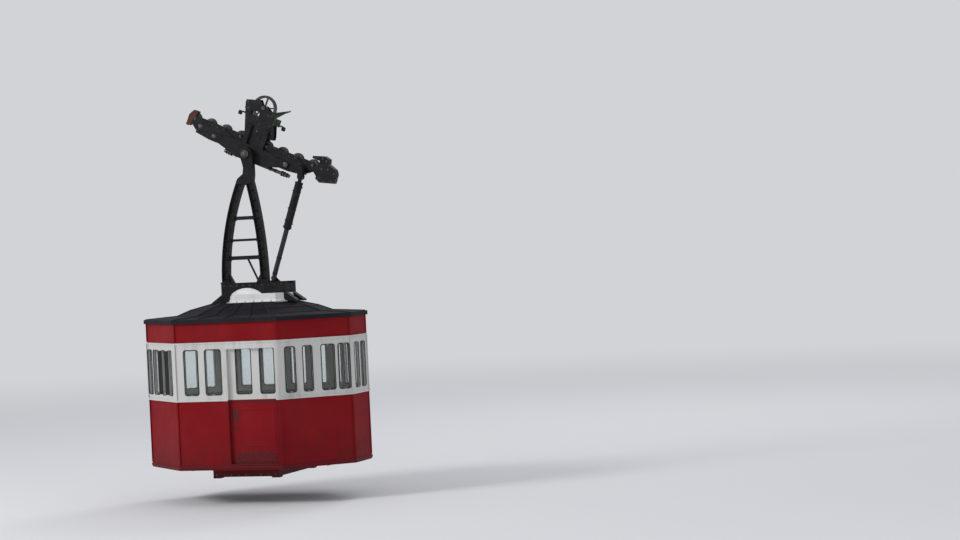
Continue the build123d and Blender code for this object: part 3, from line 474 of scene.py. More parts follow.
def rubber(name):
    """Matt black rubber with a chalky bloom."""
    finish = Finish(name)
    bloom = finish.spread(finish.noise(24, 5), 0.4, 0.8)
    finish.relief(finish.noise(90, 4), 0.0008, 0.5)
    return finish.surface(finish.blend(finish.times(bloom, 0.5), (0.012, 0.012, 0.013), (0.06, 0.06, 0.058)), 0.75)


finishes = {
    "body_red": painted_metal("red_enamel", (0.215, 0.0065, 0.011), (0.27, 0.018, 0.018), (0.05, 0.017, 0.016), 0.52,
                              0.35, foot_z + 0.55, 0.05),
    "frame_white": painted_metal("white_enamel", (0.63, 0.62, 0.60), (0.53, 0.52, 0.48), (0.24, 0.22, 0.19), 0.45,
                                 0.45),
    "roof_dark": painted_metal("roof_tar", (0.011, 0.010, 0.013), (0.026, 0.024, 0.028), (0.04, 0.036, 0.033), 0.7,
                               0.2),
    "hanger_dark": rusted_paint("hanger_paint", (0.009, 0.009, 0.010), (0.07, 0.024, 0.012), 0.45, 0.55),
    "wheel_steel": bare_steel("wheel_iron", (0.075, 0.07, 0.068), (0.008, 0.0075, 0.007), 0.42),
    "pin_steel": bare_steel("pin_steel", (0.13, 0.125, 0.12), (0.012, 0.011, 0.010), 0.4),
    "guard_rust": rusted_paint("guard_primer", (0.062, 0.023, 0.014), (0.15, 0.046, 0.02), 0.9, 0.65),
    "lever_green": rusted_paint("lever_paint", (0.009, 0.017, 0.010), (0.05, 0.02, 0.012), 0.4, 0.5),
    "plinth_white": painted_metal("plinth_enamel", (0.84, 0.84, 0.82), (0.72, 0.71, 0.67), (0.34, 0.32, 0.28), 0.45,
                                  0.35),
    "glass": window_pane("window_pane"),
    "floor_grey": rubber("floor_rubber"),
    "lining_board": painted_metal("wall_laminate", (0.20, 0.19, 0.17), (0.15, 0.14, 0.13), (0.06, 0.055, 0.05), 0.5,
                                  0.2, foot_z + 0.3),
    "inner_cream": painted_metal("ceiling_enamel", (0.6, 0.56, 0.46), (0.52, 0.48, 0.38), (0.3, 0.26, 0.2), 0.5, 0.1),
    "rail_steel": bare_steel("rail_steel", (0.32, 0.32, 0.32), (0.12, 0.12, 0.115), 0.35),
    "frame_dark_red": painted_metal("underframe_enamel", (0.11, 0.007, 0.011), (0.14, 0.02, 0.02),
                                    (0.035, 0.022, 0.02), 0.55, 0.5),
}
slot_of = {row["node"]: row["material_slot"] for row in frame["record"]["subparts"]}
for name, node in nodes.items():
    for holder in node.material_slots:
        holder.material = finishes[slot_of[name]]

# The damper's rod is darker than the pins whose slot it has
rod_finish = bare_steel("oiled_rod", (0.045, 0.044, 0.046), (0.012, 0.011, 0.010), 0.34)
for holder in nodes["damper_rod"].material_slots:
    holder.material = rod_finish

# Sizes of the details, in metres

sill_rail = 0.075
window_height = 0.615
pane_corner = 0.03
frame_proud = 0.006
door_inset = 0.048
jamb_u, door_end_u = 0.010, 0.712
long_panes = [(-0.516, 0.206), (-0.191, 0.236)]
door_panes = [(0.233, 0.226), (0.577, 0.212)]
corner_panes = [(-0.366, 0.152), (-0.109, 0.140), (0.192, 0.200), (0.430, 0.170)]
turned_panes = [(-middle, width) for middle, width in corner_panes]
end_panes = [(-0.120, 0.164), (0.120, 0.164)]
sill_v = sill_z - foot_z
pane_v = sill_v + sill_rail + window_height / 2
band_v = band_z - foot_z
fascia_v = fascia_top - foot_z
long_faces, corner_faces, end_faces = (0, 4), (1, 3, 5, 7), (2, 6)
face_panes = {face: panes for faces, panes in (
    (long_faces, long_panes), ((1, 5), corner_panes), ((3, 7), turned_panes), (end_faces, end_panes)) for face in faces}
wheel_places = sorted(side * (0.2075 + i * 0.245) for side in (-1, 1) for i in range(4))
truck_places = [(a + b) / 2 for a, b in zip(wheel_places[::2], wheel_places[1::2])]
bogie_places = (-0.575, 0.575)
wheel_h, link_h, bogie_h = 0.085, 0.010, -0.045
truck_out, bogie_out, beam_out = 0.0455, 0.061, 0.081
hanger_near, hanger_far = -0.180, -0.090
leg_table = [
    # side, spread at the foot, bow of the middle line
    (-1, 0.391, 3.546),
    (1, 0.191, 6.346),
]
leg_foot_d = 1.786
beam_y = 0.135


def leg_point(side, foot, bow, offset, depth):
    """Point beside a leg's middle line: foot - bow + sqrt((bow + offset)^2 - (depth - foot depth)^2) outwards."""
    depth = np.asarray(depth, float)
    spread = foot - bow + np.sqrt((bow + offset) ** 2 - (depth - leg_foot_d) ** 2)
    return np.stack([pivot[0] + side * spread, np.zeros_like(depth), pivot[2] - depth], -1)


# Cabin: mouldings, rails and cover strips that run round the walls

half_round = np.array([(0.0, -0.012), (0.006, -0.0105), (0.0085, 0.0), (0.006, 0.0105), (0.0, 0.012), (-0.004, 0.0)])
eaves_out = 0.0215
for name, out, z, scale, slot in (
    ("band_moulding", frame_proud, band_z, 1.0, "frame_white"),
    ("foot_rail", 0.0, foot_z + 0.036, 1.5, "frame_dark_red"),
    ("eaves_bead", eaves_out, fascia_top + 0.012, 1.0, "roof_dark"),
    ("roof_edge_bead", eaves_out, rim_z - 0.012, 1.0, "roof_dark"),
    ("fascia_foot_bead", 0.0, band_z + 0.022, 0.6, "body_red"),
):
    make_piece(name, swept(ring_path(-out, z), half_round * scale, True), "hanger", slot)

sill_gap = 0.004
sill_runs = []
for face in long_faces:
    ring = ring_path(-frame_proud, sill_z)
    run = [wall_point(face, door_end_u + sill_gap, sill_v, frame_proud)]
    run += [ring[(face + k) % 8] for k in range(1, 5)]
    run.append(wall_point((face + 4) % 8, jamb_u - sill_gap, sill_v, frame_proud))
    sill_runs.append(swept(run, half_round * 1.15))
make_piece("sill_moulding", join(sill_runs), "hanger", "frame_white")

cover_section = [(0.026, -0.004), (0.026, 0.0015), (0.012, 0.0045), (0.0, 0.0052),
                 (-0.012, 0.0045), (-0.026, 0.0015), (-0.026, -0.004), (0.0, -0.004)]
for name, low_v, high_v, proud, slot in (
    ("corner_covers_body", 0.07, sill_v - 0.014, 0.0, "body_red"),
    ("corner_covers_band", sill_v + 0.014, band_v - 0.012, frame_proud, "frame_white"),
    ("corner_covers_fascia", band_v + 0.03, fascia_v, 0.0, "body_red"),
):
    strips = []
    for corner in octagon(-proud):
        out = np.append(corner - [cabin_x, 0.0], 0.0) / np.linalg.norm(corner - [cabin_x, 0.0])
        strips.append(swept([(*corner, foot_z + low_v), (*corner, foot_z + high_v)], cover_section, up=out))
    make_piece(name, join(strips), "hanger", slot)


# Windows: a rubber ring in each opening, outside and inside, and clips


def rounded_ring(width, height, corner, steps=5):
    """Closed path of a rounded rectangle, as (u, v) pairs."""
    turn = np.linspace(0, math.pi / 2, steps)
    middles = [(1, 1), (-1, 1), (-1, -1), (1, -1)]
    parts = [np.stack([a * (width / 2 - corner) + corner * np.cos(turn + k * math.pi / 2),
                       b * (height / 2 - corner) + corner * np.sin(turn + k * math.pi / 2)], -1)
             for k, (a, b) in enumerate(middles)]
    return np.vstack(parts)


def wall_ring(face, u, v, out, size):
    """A rounded rectangle of size (width, height, corner) laid round (u, v) on a face, out from the wall."""
    ring = rounded_ring(*size)
    return wall_point(face, u + ring[:, 0], v + ring[:, 1], out)


def gasket(face, middle, width, out):
    """Rubber lip round a pane, carried along its rounded outline."""
    path = wall_ring(face, middle, pane_v, out, (width, window_height, pane_corner))
    return swept(path, box_section(0.013, 0.009, 0.003), True, up=wall_out(face))


gasket_in = -0.0365
wall_panes = [(face, middle, width) for face in range(8) for middle, width in face_panes[face]]
for name, out in (("window_gaskets", frame_proud + 0.001), ("window_gaskets_inner", gasket_in)):
    make_piece(name, join(gasket(*pane, out) for pane in wall_panes), "hanger", "floor_grey")
clip_places = [frame_at(wall_point(face, middle, pane_v + way * (window_height / 2 - 0.006), frame_proud + 0.004),
                        wall_out(face)) for face, middle, width in wall_panes for way in (-1, 1)]
make_piece("window_clips", repeat(block((0, 0, 0), (0.016, 0.03, 0.006)), clip_places), "hanger", "rail_steel", False)

# Painted shade: dark cover plates on two pillars of each turned corner face, so that three of its panes read as one
# wide window of shaded glass

cover_gap = 0.005
dark_pillars = []
for face in (3, 7):
    panes = sorted(turned_panes)[1:]
    for (left, left_width), (right, right_width) in zip(panes, panes[1:]):
        start, end = left + left_width / 2 + cover_gap, right - right_width / 2 - cover_gap
        place = wall_point(face, (start + end) / 2, pane_v, frame_proud - 0.001)
        dark_pillars.append(block(place, (window_height - 0.01, end - start, 0.003), wall_out(face), bevel=0.001))
make_piece("dark_pillars", join(dark_pillars), "hanger", "roof_dark", False)

# Rivets on the walls, along the foot, under the sill, beside each corner and on the fascia; screws on the band

rivet_pitch = 0.085
rivet_places, band_places = [], []
for face in range(8):
    edge = face_length(face) / 2
    out = wall_out(face)
    us = np.arange(-edge + 0.045, edge - 0.04, rivet_pitch)
    by_door = face in long_faces
    for v in (0.085, sill_v - 0.035, fascia_v - 0.02, band_v + 0.05):
        clear = (us < jamb_u - 0.02) | (us > door_end_u + 0.015) | (not by_door) | (v > sill_v)
        rivet_places += [frame_at(spot, out) for spot in wall_point(face, us[clear], v)]
    for u in (-edge + 0.036, jamb_u - 0.022 if by_door else edge - 0.036):
        column = wall_point(face, u, np.arange(0.15, sill_v - 0.08, rivet_pitch))
        rivet_places += [frame_at(spot, out) for spot in column]
    for v in (band_v - 0.026,) if by_door else (band_v - 0.026, sill_v + 0.03):
        band_places += [frame_at(spot, out) for spot in wall_point(face, us, v, frame_proud)]
make_piece("wall_rivets", repeat(rivet(0.0055, 0.0025), rivet_places), "hanger", "body_red")
make_piece("band_screws", repeat(rivet(0.0045, 0.002), band_places), "hanger", "rail_steel")

# Doors: flush pull, inner handle, kick strip and plates, swage, rubber edges and hangers

door_sides = (("near", 0), ("far", 4))
door_mid_u = (jamb_u + door_end_u) / 2
pull_u, pull_v = jamb_u + 0.075, 0.74
skin, inner_skin = -door_inset, -door_inset - 0.033
grip_u = jamb_u + 0.055
rim_section = [(0.008, -0.002), (0.008, 0.001), (0.003, 0.0028), (-0.003, 0.0028), (-0.008, 0.001), (-0.008, -0.002)]
swage_section = [(0.012, 0.0), (0.005, 0.004), (-0.005, 0.004), (-0.012, 0.0), (-0.005, -0.002), (0.005, -0.002)]
handle_arch = [
    # height over the wall's foot, distance from the leaf
    (0.62, 0.0), (0.625, 0.028), (0.65, 0.036), (0.74, 0.038), (0.83, 0.036), (0.855, 0.028), (0.86, 0.0),
]
door_plates = [
    # middle along the wall and over its foot; height, width and thickness
    (door_mid_u, 0.17, (0.13, 0.60, 0.002)),
    (door_mid_u, sill_v - 0.03, (0.03, 0.66, 0.003)),
    (pull_u, 0.54, (0.07, 0.045, 0.002)),
]
for side, face in door_sides:
    body = f"door_{side}"
    out = wall_out(face)
    rim = wall_ring(face, pull_u, pull_v, skin, (0.075, 0.21, 0.034))
    make_piece(f"{body}_pull_rim", swept(rim, rim_section, True, up=out), body, "frame_dark_red")
    # Painted shade: a flat dark plate inside the rim stands in for the shaded hollow of the pull's cup
    shade_plate_outline = wall_ring(face, pull_u, pull_v, skin, (0.034, 0.15, 0.016))
    make_piece(f"{body}_pull_shade_plate", capped(np.stack([shade_plate_outline, shade_plate_outline + 0.0010 * out]), 2, len(shade_plate_outline)), body, "floor_grey", False)
    arch = [wall_point(face, grip_u, v, inner_skin - w) for v, w in handle_arch]
    feet = studded(turned([(0.019, 0), (0.019, 0.005), (0.012, 0.008)]),
                   [wall_point(face, grip_u, v, inner_skin) for v in (0.62, 0.86)], -out)
    grip = swept(arch, ring_section(0.0085), up=np.cross([0, 0, 1], out))
    make_piece(f"{body}_handle", join([grip, feet]), body, "rail_steel")
    plates = [block(wall_point(face, u, v, skin), size, out) for u, v, size in door_plates]
    make_piece(f"{body}_plates", join(plates), body, "frame_dark_red", False)
    screws = [wall_point(face, u, v, skin + 0.002) for v in (0.115, 0.225)
              for u in np.linspace(jamb_u + 0.075, door_end_u - 0.075, 7)]
    make_piece(f"{body}_screws", studded(rivet(0.006, 0.0015), screws, out), body, "pin_steel")
    swage = wall_ring(face, door_mid_u + 0.045, 0.57, skin, (0.49, 0.50, 0.04))
    make_piece(f"{body}_swage", swept(swage, swage_section, True, up=out), body, "body_red")
    lips = [gasket(face, *pane, skin - depth) for pane in door_panes for depth in (0.0015, 0.031)]
    make_piece(f"{body}_gaskets", join(lips), body, "floor_grey")
    parts = [block(wall_point(face, jamb_u - 0.016, 0.53, skin - 0.015), (0.8, 0.006, 0.004), out)]
    parts += [block(wall_point(face, u, sill_v + sill_rail + window_height + 0.035, skin - 0.008),
                    (0.03, 0.09, 0.006), out) for u in (0.12, 0.60)]
    make_piece(f"{body}_hangers", join(parts), body, "pin_steel", False)

# Doorway: steel threshold and jamb strips on both long walls

door_trim = []
for face in long_faces:
    out = wall_out(face)
    door_trim.append(block(wall_point(face, door_mid_u, 0.068), (0.020, 0.70, 0.004), out))
    for u in (jamb_u - 0.010, door_end_u + 0.010):
        door_trim.append(block(wall_point(face, u, (0.08 + sill_v) / 2), (sill_v - 0.12, 0.014, 0.004), out))
make_piece("doorway_trim", join(door_trim), "hanger", "frame_dark_red", False)

# Roof: seams down the hips, between them on the long sides, and round the folds

roof_rows = [
    # height over the rim, scale of the plan
    (0.0, 1.0),
    (0.030, 0.71),
    (0.105, 0.585),
    (0.184, 0.37),
]
hip_section = [(0.014, -0.004), (0.011, 0.006), (0.0, 0.010), (-0.011, 0.006), (-0.014, -0.004), (0.0, -0.004)]
rib_section = [(0.009, -0.004), (0.006, 0.009), (-0.006, 0.009), (-0.009, -0.004)]
fold_section = [(0.012, -0.005), (0.006, 0.005), (-0.006, 0.005), (-0.012, -0.005)]
ring = octagon(0.0) - [cabin_x, 0.0]
rises = [(ring[k], hip_section) for k in range(8)]
rises += [(ring[face] * (1 - share) + ring[face + 1] * share, rib_section)
          for face in long_faces for share in (0.25, 0.5, 0.75)]
seams = [swept([(cabin_x + x * scale, y * scale, rim_z + rise) for rise, scale in roof_rows], section)
         for (x, y), section in rises]
for rise, scale in roof_rows[1:]:
    fold = np.hstack([ring * scale + [cabin_x, 0.0], np.full((8, 1), rim_z + rise)])
    seams.append(swept(fold, fold_section, True))
make_piece("roof_seams", join(seams), "hanger", "roof_dark")

# Plinth: sloping slab with an arch over it, packers under the base beams, skirt and bolts round its foot

plinth_high = 0.119
plinth_top = high("base_frame")[2] - 0.155
plinth_low = plinth_top - plinth_high
plinth_start, plinth_end, plinth_half, plinth_cut = -0.372, 0.512, 0.280, 0.12


def plinth_outline(start, end, half):
    """Plan of the plinth between two places along the cabin, with its corners cut off."""
    middle = (start + end) / 2
    x, y = (end - start) / 2, half
    ring = [(-x + plinth_cut, -y), (x - plinth_cut, -y), (x, -y + plinth_cut), (x, y - plinth_cut)]
    ring += [(-a, -b) for a, b in ring]
    return np.array(ring) + [pivot[0] + middle, 0.0]


levels = [
    # height over the plinth's foot, start and end along the cabin, half width
    (-0.012, plinth_start, plinth_end, plinth_half),
    (0.080, -0.350, 0.510, plinth_half),
    (0.113, -0.330, 0.508, plinth_half),
    (plinth_high, -0.322, 0.502, 0.274),
]
slab = np.stack([np.hstack([plinth_outline(start, end, half), np.full((8, 1), plinth_low + rise)])
                 for rise, start, end, half in levels])
arch_chord, arch_rise, arch_middle, arch_half = 0.464, 0.086, -0.082, 0.187
arch_radius = ((arch_chord / 2) ** 2 + arch_rise ** 2) / (2 * arch_rise)
arch_x = np.linspace(-arch_chord / 2 + 0.004, arch_chord / 2 - 0.004, 25)
arch_z = np.maximum(arch_rise - 0.003 - arch_radius + np.sqrt(arch_radius ** 2 - arch_x ** 2), 0.001)
saddle = np.stack([np.stack([pivot[0] + arch_middle + arch_x, np.full(25, y), plinth_top + level * arch_z], -1)
                   for y, level in ((-arch_half, 0), (arch_half, 0), (arch_half, 1), (-arch_half, 1))], 1)
plinth = make_piece("plinth_body", join([capped(slab, 4, 8), capped(saddle, 25, 4)]), "hanger", "plinth_white")
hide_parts("roof_plinth")
packers = [block((pivot[0] - 0.395, y, plinth_low), (0.120, 0.110, plinth_high)) for y in (-beam_y, beam_y)]
make_piece("base_packers", join(packers), "hanger", "hanger_dark", False)
skirt_section = [(0.030, 0.0), (0.028, 0.006), (0.006, 0.010), (0.0, 0.030), (-0.004, 0.030), (-0.004, 0.0)]
foot_ring = plinth_outline(plinth_start, plinth_end, plinth_half)
skirt = swept(np.hstack([foot_ring, np.full((8, 1), plinth_low + 0.004)]), skirt_section, True)
make_piece("plinth_skirt", skirt, "hanger", "plinth_white")
bolts = []
for a, b in zip(foot_ring, np.roll(foot_ring, -1, 0)):
    span = np.linalg.norm(b - a)
    count = max(1, round(span / 0.14))
    outwards = np.array([b[1] - a[1], a[0] - b[0]]) / span
    shares = (np.arange(count) + 0.5) / count
    bolts += [(*(a + (b - a) * share + outwards * 0.016), plinth_low + 0.010) for share in shares]
make_piece("plinth_bolts", studded(hex_bolt(0.009, 0.009), bolts, (0, 0, 1)), "hanger", "pin_steel", False)

# Lining on the inner faces: dark board under the windows, cream paint round them and over them

lining_skin, pane_gap = 0.003, 0.007
wall_depth, door_depth = 0.040, door_inset + 0.030
floor_v = 0.081


def lining(face, from_u, to_u, from_v, to_v, depth):
    """A thin sheet on the inside of a face, between two widths and two heights; thinner where a door slides past."""
    spot = wall_point(face, (from_u + to_u) / 2, (from_v + to_v) / 2, -depth)
    skin = 0.001 if face in long_faces and depth < door_inset else lining_skin
    return block(spot, (to_v - from_v, to_u - from_u, skin), -wall_out(face), bevel=0.001)


def pillars(face, panes, low_u, high_u, depth):
    """Lining round the panes of a face: a strip between each two panes, one under them and one over them."""
    edges = sorted((middle - width / 2 - pane_gap, middle + width / 2 + pane_gap) for middle, width in panes)
    starts = [low_u] + [end for start, end in edges]
    ends = [start for start, end in edges] + [high_u]
    pane_low, pane_high = pane_v - window_height / 2 - pane_gap, pane_v + window_height / 2 + pane_gap
    sheets = [lining(face, a, b, pane_low, pane_high, depth) for a, b in zip(starts, ends) if b - a > 0.012]
    sheets.append(lining(face, low_u, high_u, sill_v, pane_low, depth))
    sheets.append(lining(face, low_u, high_u, pane_high, band_v - 0.002, depth))
    return sheets


boards, sheets = [], []
for face in range(8):
    reach = face_length(face) / 2 - 0.018
    high_u = jamb_u - 0.002 if face in long_faces else reach
    boards.append(lining(face, -reach, high_u, floor_v, sill_v, wall_depth))
    sheets += pillars(face, face_panes[face], -reach, high_u, wall_depth)
    sheets.append(lining(face, -reach, reach, band_v + 0.010, fascia_v - 0.021, wall_depth))
make_piece("wall_lining", join(boards), "hanger", "floor_grey", False, "lining_board")
make_piece("band_lining", join(sheets), "hanger", "inner_cream", False)
for side, face in door_sides:
    low_u, high_u = jamb_u - 0.018, door_end_u + 0.018
    board = lining(face, low_u, high_u, 0.10, sill_v, door_depth)
    sheets = pillars(face, door_panes, low_u, high_u, door_depth)[:-1]
    make_piece(f"door_{side}_lining", board, f"door_{side}", "floor_grey", False, "lining_board")
    make_piece(f"door_{side}_band_lining", join(sheets), f"door_{side}", "inner_cream", False)

# Inside: ceiling lamps, floor treads, handrail sockets and hanging grips

ceiling_z, grip_y = fascia_top - 0.020, 0.42
lamp_spots = [(cabin_x + x, 0.0, ceiling_z) for x in (-0.85, 0.85)]
for name, profile, slot in (
    ("ceiling_lamps", [(0.13, 0), (0.13, 0.012), (0.11, 0.034), (0.06, 0.046), (0.01, 0.048)], "plinth_white"),
    ("ceiling_lamp_rims", [(0.145, 0), (0.145, 0.008), (0.128, 0.016)], "rail_steel"),
):
    make_piece(name, studded(turned(profile, 24), lamp_spots, (0, 0, -1)), "hanger", slot)
treads = []
for y in np.linspace(-0.84, 0.84, 22):
    size = (floor_strip(y, half_length, half_width), 0.018, 0.003)
    treads.append(block((cabin_x, y, foot_z + 0.080), size, bevel=0.001))
make_piece("floor_treads", join(treads), "hanger", "rail_steel", False)
sockets = [frame_at(wall_point(face, way * (face_length(face) / 2 - 0.095), sill_v - 0.04, -0.043), -wall_out(face))
           for face in sorted(corner_faces + end_faces) for way in (-1, 1)]
socket = turned([(0.030, 0), (0.030, 0.005), (0.020, 0.012)], 14)
make_piece("handrail_sockets", repeat(socket, sockets), "hanger", "rail_steel")
straps = []
for y in (-grip_y, grip_y):
    for x in np.linspace(-0.9, 0.9, 7):
        top = np.array([cabin_x + x, y, ceiling_z])
        straps.append(block(top, (0.022, 0.005, 0.20), (0, 0, -1)))
        ring = rounded_ring(0.095, 0.075, 0.03)
        loop = top + np.stack([ring[:, 0], 0 * ring[:, 0], -0.235 + ring[:, 1]], -1)
        straps.append(swept(loop, ring_section(0.007, 6), True, up=(0, 1, 0)))
    rail = [(cabin_x + way, y, ceiling_z - 0.014) for way in (-1.0, 1.0)]
    straps.append(swept(rail, ring_section(0.014, 10)))
make_piece("grips", join(straps), "hanger", "floor_grey")

# Track wheels: liner in the groove, rim bead, ribs and the rivets of the bearing cover, each wheel on its own axle

wheel_face = 0.020
rib_middle = 0.054
bead_profile = [(0.0805, -0.001), (0.0805, 0.002), (0.0745, 0.003), (0.0725, -0.001)]
groove_profile = [(0.0665, -0.0085), (0.0695, -0.0085), (0.0682, 0.0), (0.0695, 0.0085), (0.0665, 0.0085),
                  (0.0660, 0.0)]
for number, place in enumerate(wheel_places):
    body = f"track_wheel_{number + 1}"
    ways = ring_section(1.0, 6, math.radians(15 * number))
    ribs = [frame_at((*(rib_middle * way), 0.0), (0, 0, 1), (*way, 0.0)) for way in ways]
    side_dress = join([repeat(block((0, 0, 0), (0.042, 0.010, 0.004)), ribs),
                       studded(rivet(0.0042, 0.003), [(*spot, 0.007) for spot in ring_section(0.0265, 6)], (0, 0, 1))])
    dress = []
    for side in (-1, 1):
        face_frame = frame_at(rope_point(place, wheel_h, side * wheel_face), (0, side, 0), rope_along)
        dress += [hoop(bead_profile, 32, face_frame), repeat(side_dress, [face_frame])]
    liner = hoop(groove_profile, 40, frame_at(rope_point(place, wheel_h), (0, 1, 0), rope_along))
    make_piece(f"wheel_{number + 1}_ribs", join(dress), body, "wheel_steel")
    make_piece(f"wheel_{number + 1}_liner", liner, body, "floor_grey")

# Carriage: axle nuts, bearing covers, pin caps, rivets and the guards' bolts


def on_carriage(shape, spots, y, sides=(-1, 1)):
    """Copies of a shape on both outer faces at y of the carriage's plates."""
    return join(studded(shape, [rope_point(s, h, side * y) for s, h in spots], (0, side, 0), rope_along)
                for side in sides)


def along_path(path, step):
    """Points every step along a path of straight runs."""
    path = np.asarray(path, float)
    runs = np.linalg.norm(np.diff(path, axis=0), axis=1)
    reach = np.concatenate([[0.0], np.cumsum(runs)])
    places = np.arange(step / 2, reach[-1], step)
    return np.stack([np.interp(places, reach, path[:, k]) for k in range(path.shape[1])], -1)


def around(middles, offsets):
    """Each offset (along, over) laid round each middle."""
    return [(s + a, h + b) for s, h in middles for a, b in offsets]


cover = turned([(0.026, 0), (0.026, 0.003), (0.020, 0.006), (0.008, 0.007)], 16)
pin_cap = turned([(0.033, 0), (0.033, 0.004), (0.024, 0.007), (0.022, 0.010), (0.010, 0.011)], 20)
inner_wheels = [s for s in wheel_places if 0.3 < abs(s) < 0.8]
outer_axles = [(s, wheel_h) for s in wheel_places if s not in inner_wheels]
link_pins = [(s, bogie_h) for s in bogie_places]
beam_low = [(-0.60, -0.070), (-0.18, -0.172), (0.28, -0.172), (0.60, -0.070)]
beam_high = [(-0.60, -0.020), (-0.23, 0.016), (0.23, 0.016), (0.60, -0.020)]
truck_spots = around([(s, 0.0) for s in truck_places], [(-0.135, 0.100), (-0.045, 0.105), (0.045, 0.105),
                                                        (0.135, 0.100)])
plate_spots = around([(s, 0.0) for s in bogie_places], [(-0.26, -0.06), (0.26, -0.06), (-0.09, 0.09), (0.09, 0.09),
                                                        (0.0, 0.09), (-0.18, -0.08), (0.18, -0.08)])
guard_spots = [(-1.035, -0.01), (-1.035, 0.06), (-0.995, 0.155), (-0.945, 0.178), (-0.985, 0.01)]
guide_spots = around([(wheel_places[-1], 0.0)], [(0.15, 0.085), (0.15, -0.055), (0.24, 0.11), (0.24, -0.075),
                                                 (0.345, 0.085), (0.345, -0.03), (0.03, 0.205), (0.12, 0.225),
                                                 (0.185, 0.21)])
caps = join([on_carriage(pin_cap, link_pins, beam_out), on_carriage(pin_cap, [(-0.82, link_h)], bogie_out),
             on_carriage(pin_cap, [(0.82, link_h)], bogie_out, (1,)),
             on_carriage(rivet(0.004, 0.0035), around(link_pins, ring_section(0.026, 4, math.pi / 4)),
                         beam_out + 0.004)])
beam_rows = np.vstack([along_path(path, 0.052) for path in (beam_low, beam_high)])
swing_cap = turned([(0.030, 0), (0.030, 0.004), (0.020, 0.009), (0.006, 0.010), (0.005, 0.020)], 20)
swing_caps = []
for y, side in ((-0.216, -1), (0.095, 1)):
    middle = np.array([pivot[0], y, pivot[2]])
    spots = [middle + [x, 0.0, z] for x, z in ring_section(0.042, 6)]
    swing_caps += [studded(swing_cap, [middle], (0, side, 0)), studded(hex_bolt(0.0055, 0.006), spots, (0, side, 0))]
for name, shape, slot, smooth in (
    ("axle_nuts", on_carriage(hex_bolt(0.0145, 0.012), outer_axles, truck_out), "pin_steel", False),
    ("bearing_covers", on_carriage(cover, [(s, wheel_h) for s in inner_wheels], bogie_out), "hanger_dark", True),
    ("link_pin_caps", caps, "pin_steel", True),
    ("beam_rivets", on_carriage(rivet(0.006, 0.003), beam_rows, beam_out), "hanger_dark", True),
    ("truck_rivets", on_carriage(rivet(0.0055, 0.0018), truck_spots, truck_out - 0.0005), "hanger_dark", True),
    ("bogie_bolts", on_carriage(rivet(0.007, 0.0018), plate_spots, bogie_out), "pin_steel", True),
    ("swing_pin_bolts", join(swing_caps), "pin_steel", False),
    ("guard_rivets", on_carriage(rivet(0.006, 0.003), guard_spots, 0.045), "guard_rust", True),
    ("guide_bolts", on_carriage(hex_bolt(0.010, 0.008), guide_spots, 0.060), "pin_steel", False),
):
    make_piece(name, shape, "carriage", slot, smooth)

lip_profile = [(0.0262, 0.0), (0.040, 0.0), (0.038, 0.008), (0.0262, 0.009)]
guide_lips = [hoop(lip_profile, 28, frame_at(rope_point(wheel_places[-1] + s, 0.0), rope_along * way, (0, 1, 0)))
              for s, way in ((0.1065, -1), (0.3835, 1))]
make_piece("guide_lips", join(guide_lips), "carriage", "pin_steel")

# Fork and sheave: plate bolts, flanges, axle nuts, liner in the sheave's groove, rivets and the lever's grip

sheave_h, sheave_s, sheave_bolt_r = 0.570, -0.020, 0.153
fork_out = 0.048
plate_bolt = hex_bolt(0.009, 0.007)
fork_spots = [(-0.20, 0.36), (-0.235, 0.50), (-0.26, 0.575), (0.16, 0.36), (0.215, 0.28), (0.0, 0.24), (0.0, 0.34),
              (0.09, 0.50), (-0.06, 0.40)]
bracket_spots = [(s, h) for s in (-0.118, 0.150) for h in (0.06, 0.14, 0.22, 0.28)]
for name, shape, slot, smooth in (
    ("fork_bolts", on_carriage(plate_bolt, fork_spots, fork_out), "pin_steel", False),
    ("bracket_bolts", on_carriage(plate_bolt, bracket_spots, beam_out, (1,)), "pin_steel", False),
    ("bracket_rivets", on_carriage(rivet(0.008, 0.003), bracket_spots, beam_out, (-1,)), "hanger_dark", True),
):
    make_piece(name, shape, "carriage", slot, smooth)
fork_edges = [
    [(-0.158, 0.150), (-0.292, 0.560), (-0.292, 0.597), (-0.205, 0.623)],
    [(0.262, 0.200), (0.262, 0.240), (0.212, 0.395), (0.187, 0.480)],
]
flanges = [swept([rope_point(s, h, y) for s, h in edge], box_section(0.016, 0.006), up=(0, 1, 0))
           for y in (-fork_out + 0.002, fork_out - 0.002) for edge in fork_edges]
make_piece("fork_flanges", join(flanges), "carriage", "hanger_dark", False)
lined = [(0.1635, -0.0065), (0.1665, -0.0065), (0.1650, 0.0), (0.1665, 0.0065), (0.1635, 0.0065), (0.1630, 0.0)]
sheave_liner = hoop(lined, 64, frame_at(rope_point(sheave_s, sheave_h), (0, 1, 0), rope_along))
make_piece("sheave_liner", sheave_liner, "guide_sheave", "floor_grey")
sheave_spots = around([(sheave_s, sheave_h)], ring_section(sheave_bolt_r, 10))
sheave_rivets = join(studded(rivet(0.006, 0.003), [rope_point(s, h, side * 0.022) for s, h in sheave_spots],
                             (0, side, 0)) for side in (-1, 1))
make_piece("sheave_rivets", sheave_rivets, "guide_sheave", "wheel_steel")
axle_nuts = on_carriage(hex_bolt(0.014, 0.010), [(sheave_s, sheave_h)], 0.056)
make_piece("sheave_axle_nuts", axle_nuts, "carriage", "pin_steel", False)
grip = [rope_point(s, h, -0.054) for s, h in ((0.330, 0.628), (0.362, 0.655), (0.380, 0.672))]
lever_parts = [swept(grip, ring_section(0.011), up=(0, 1, 0)),
               on_carriage(hex_bolt(0.012, 0.008), [(0.150, 0.512)], 0.060, (-1,)),
               on_carriage(hex_bolt(0.007, 0.005), [(0.250 + a, 0.452 + b) for a in (-0.034, 0.034)
                                                    for b in (-0.036, 0.036)], 0.084, (-1,))]
make_piece("lever_fittings", join(lever_parts), "carriage", "pin_steel", False)

# Haul rope coupling: clamp bands on its sockets and along the rod

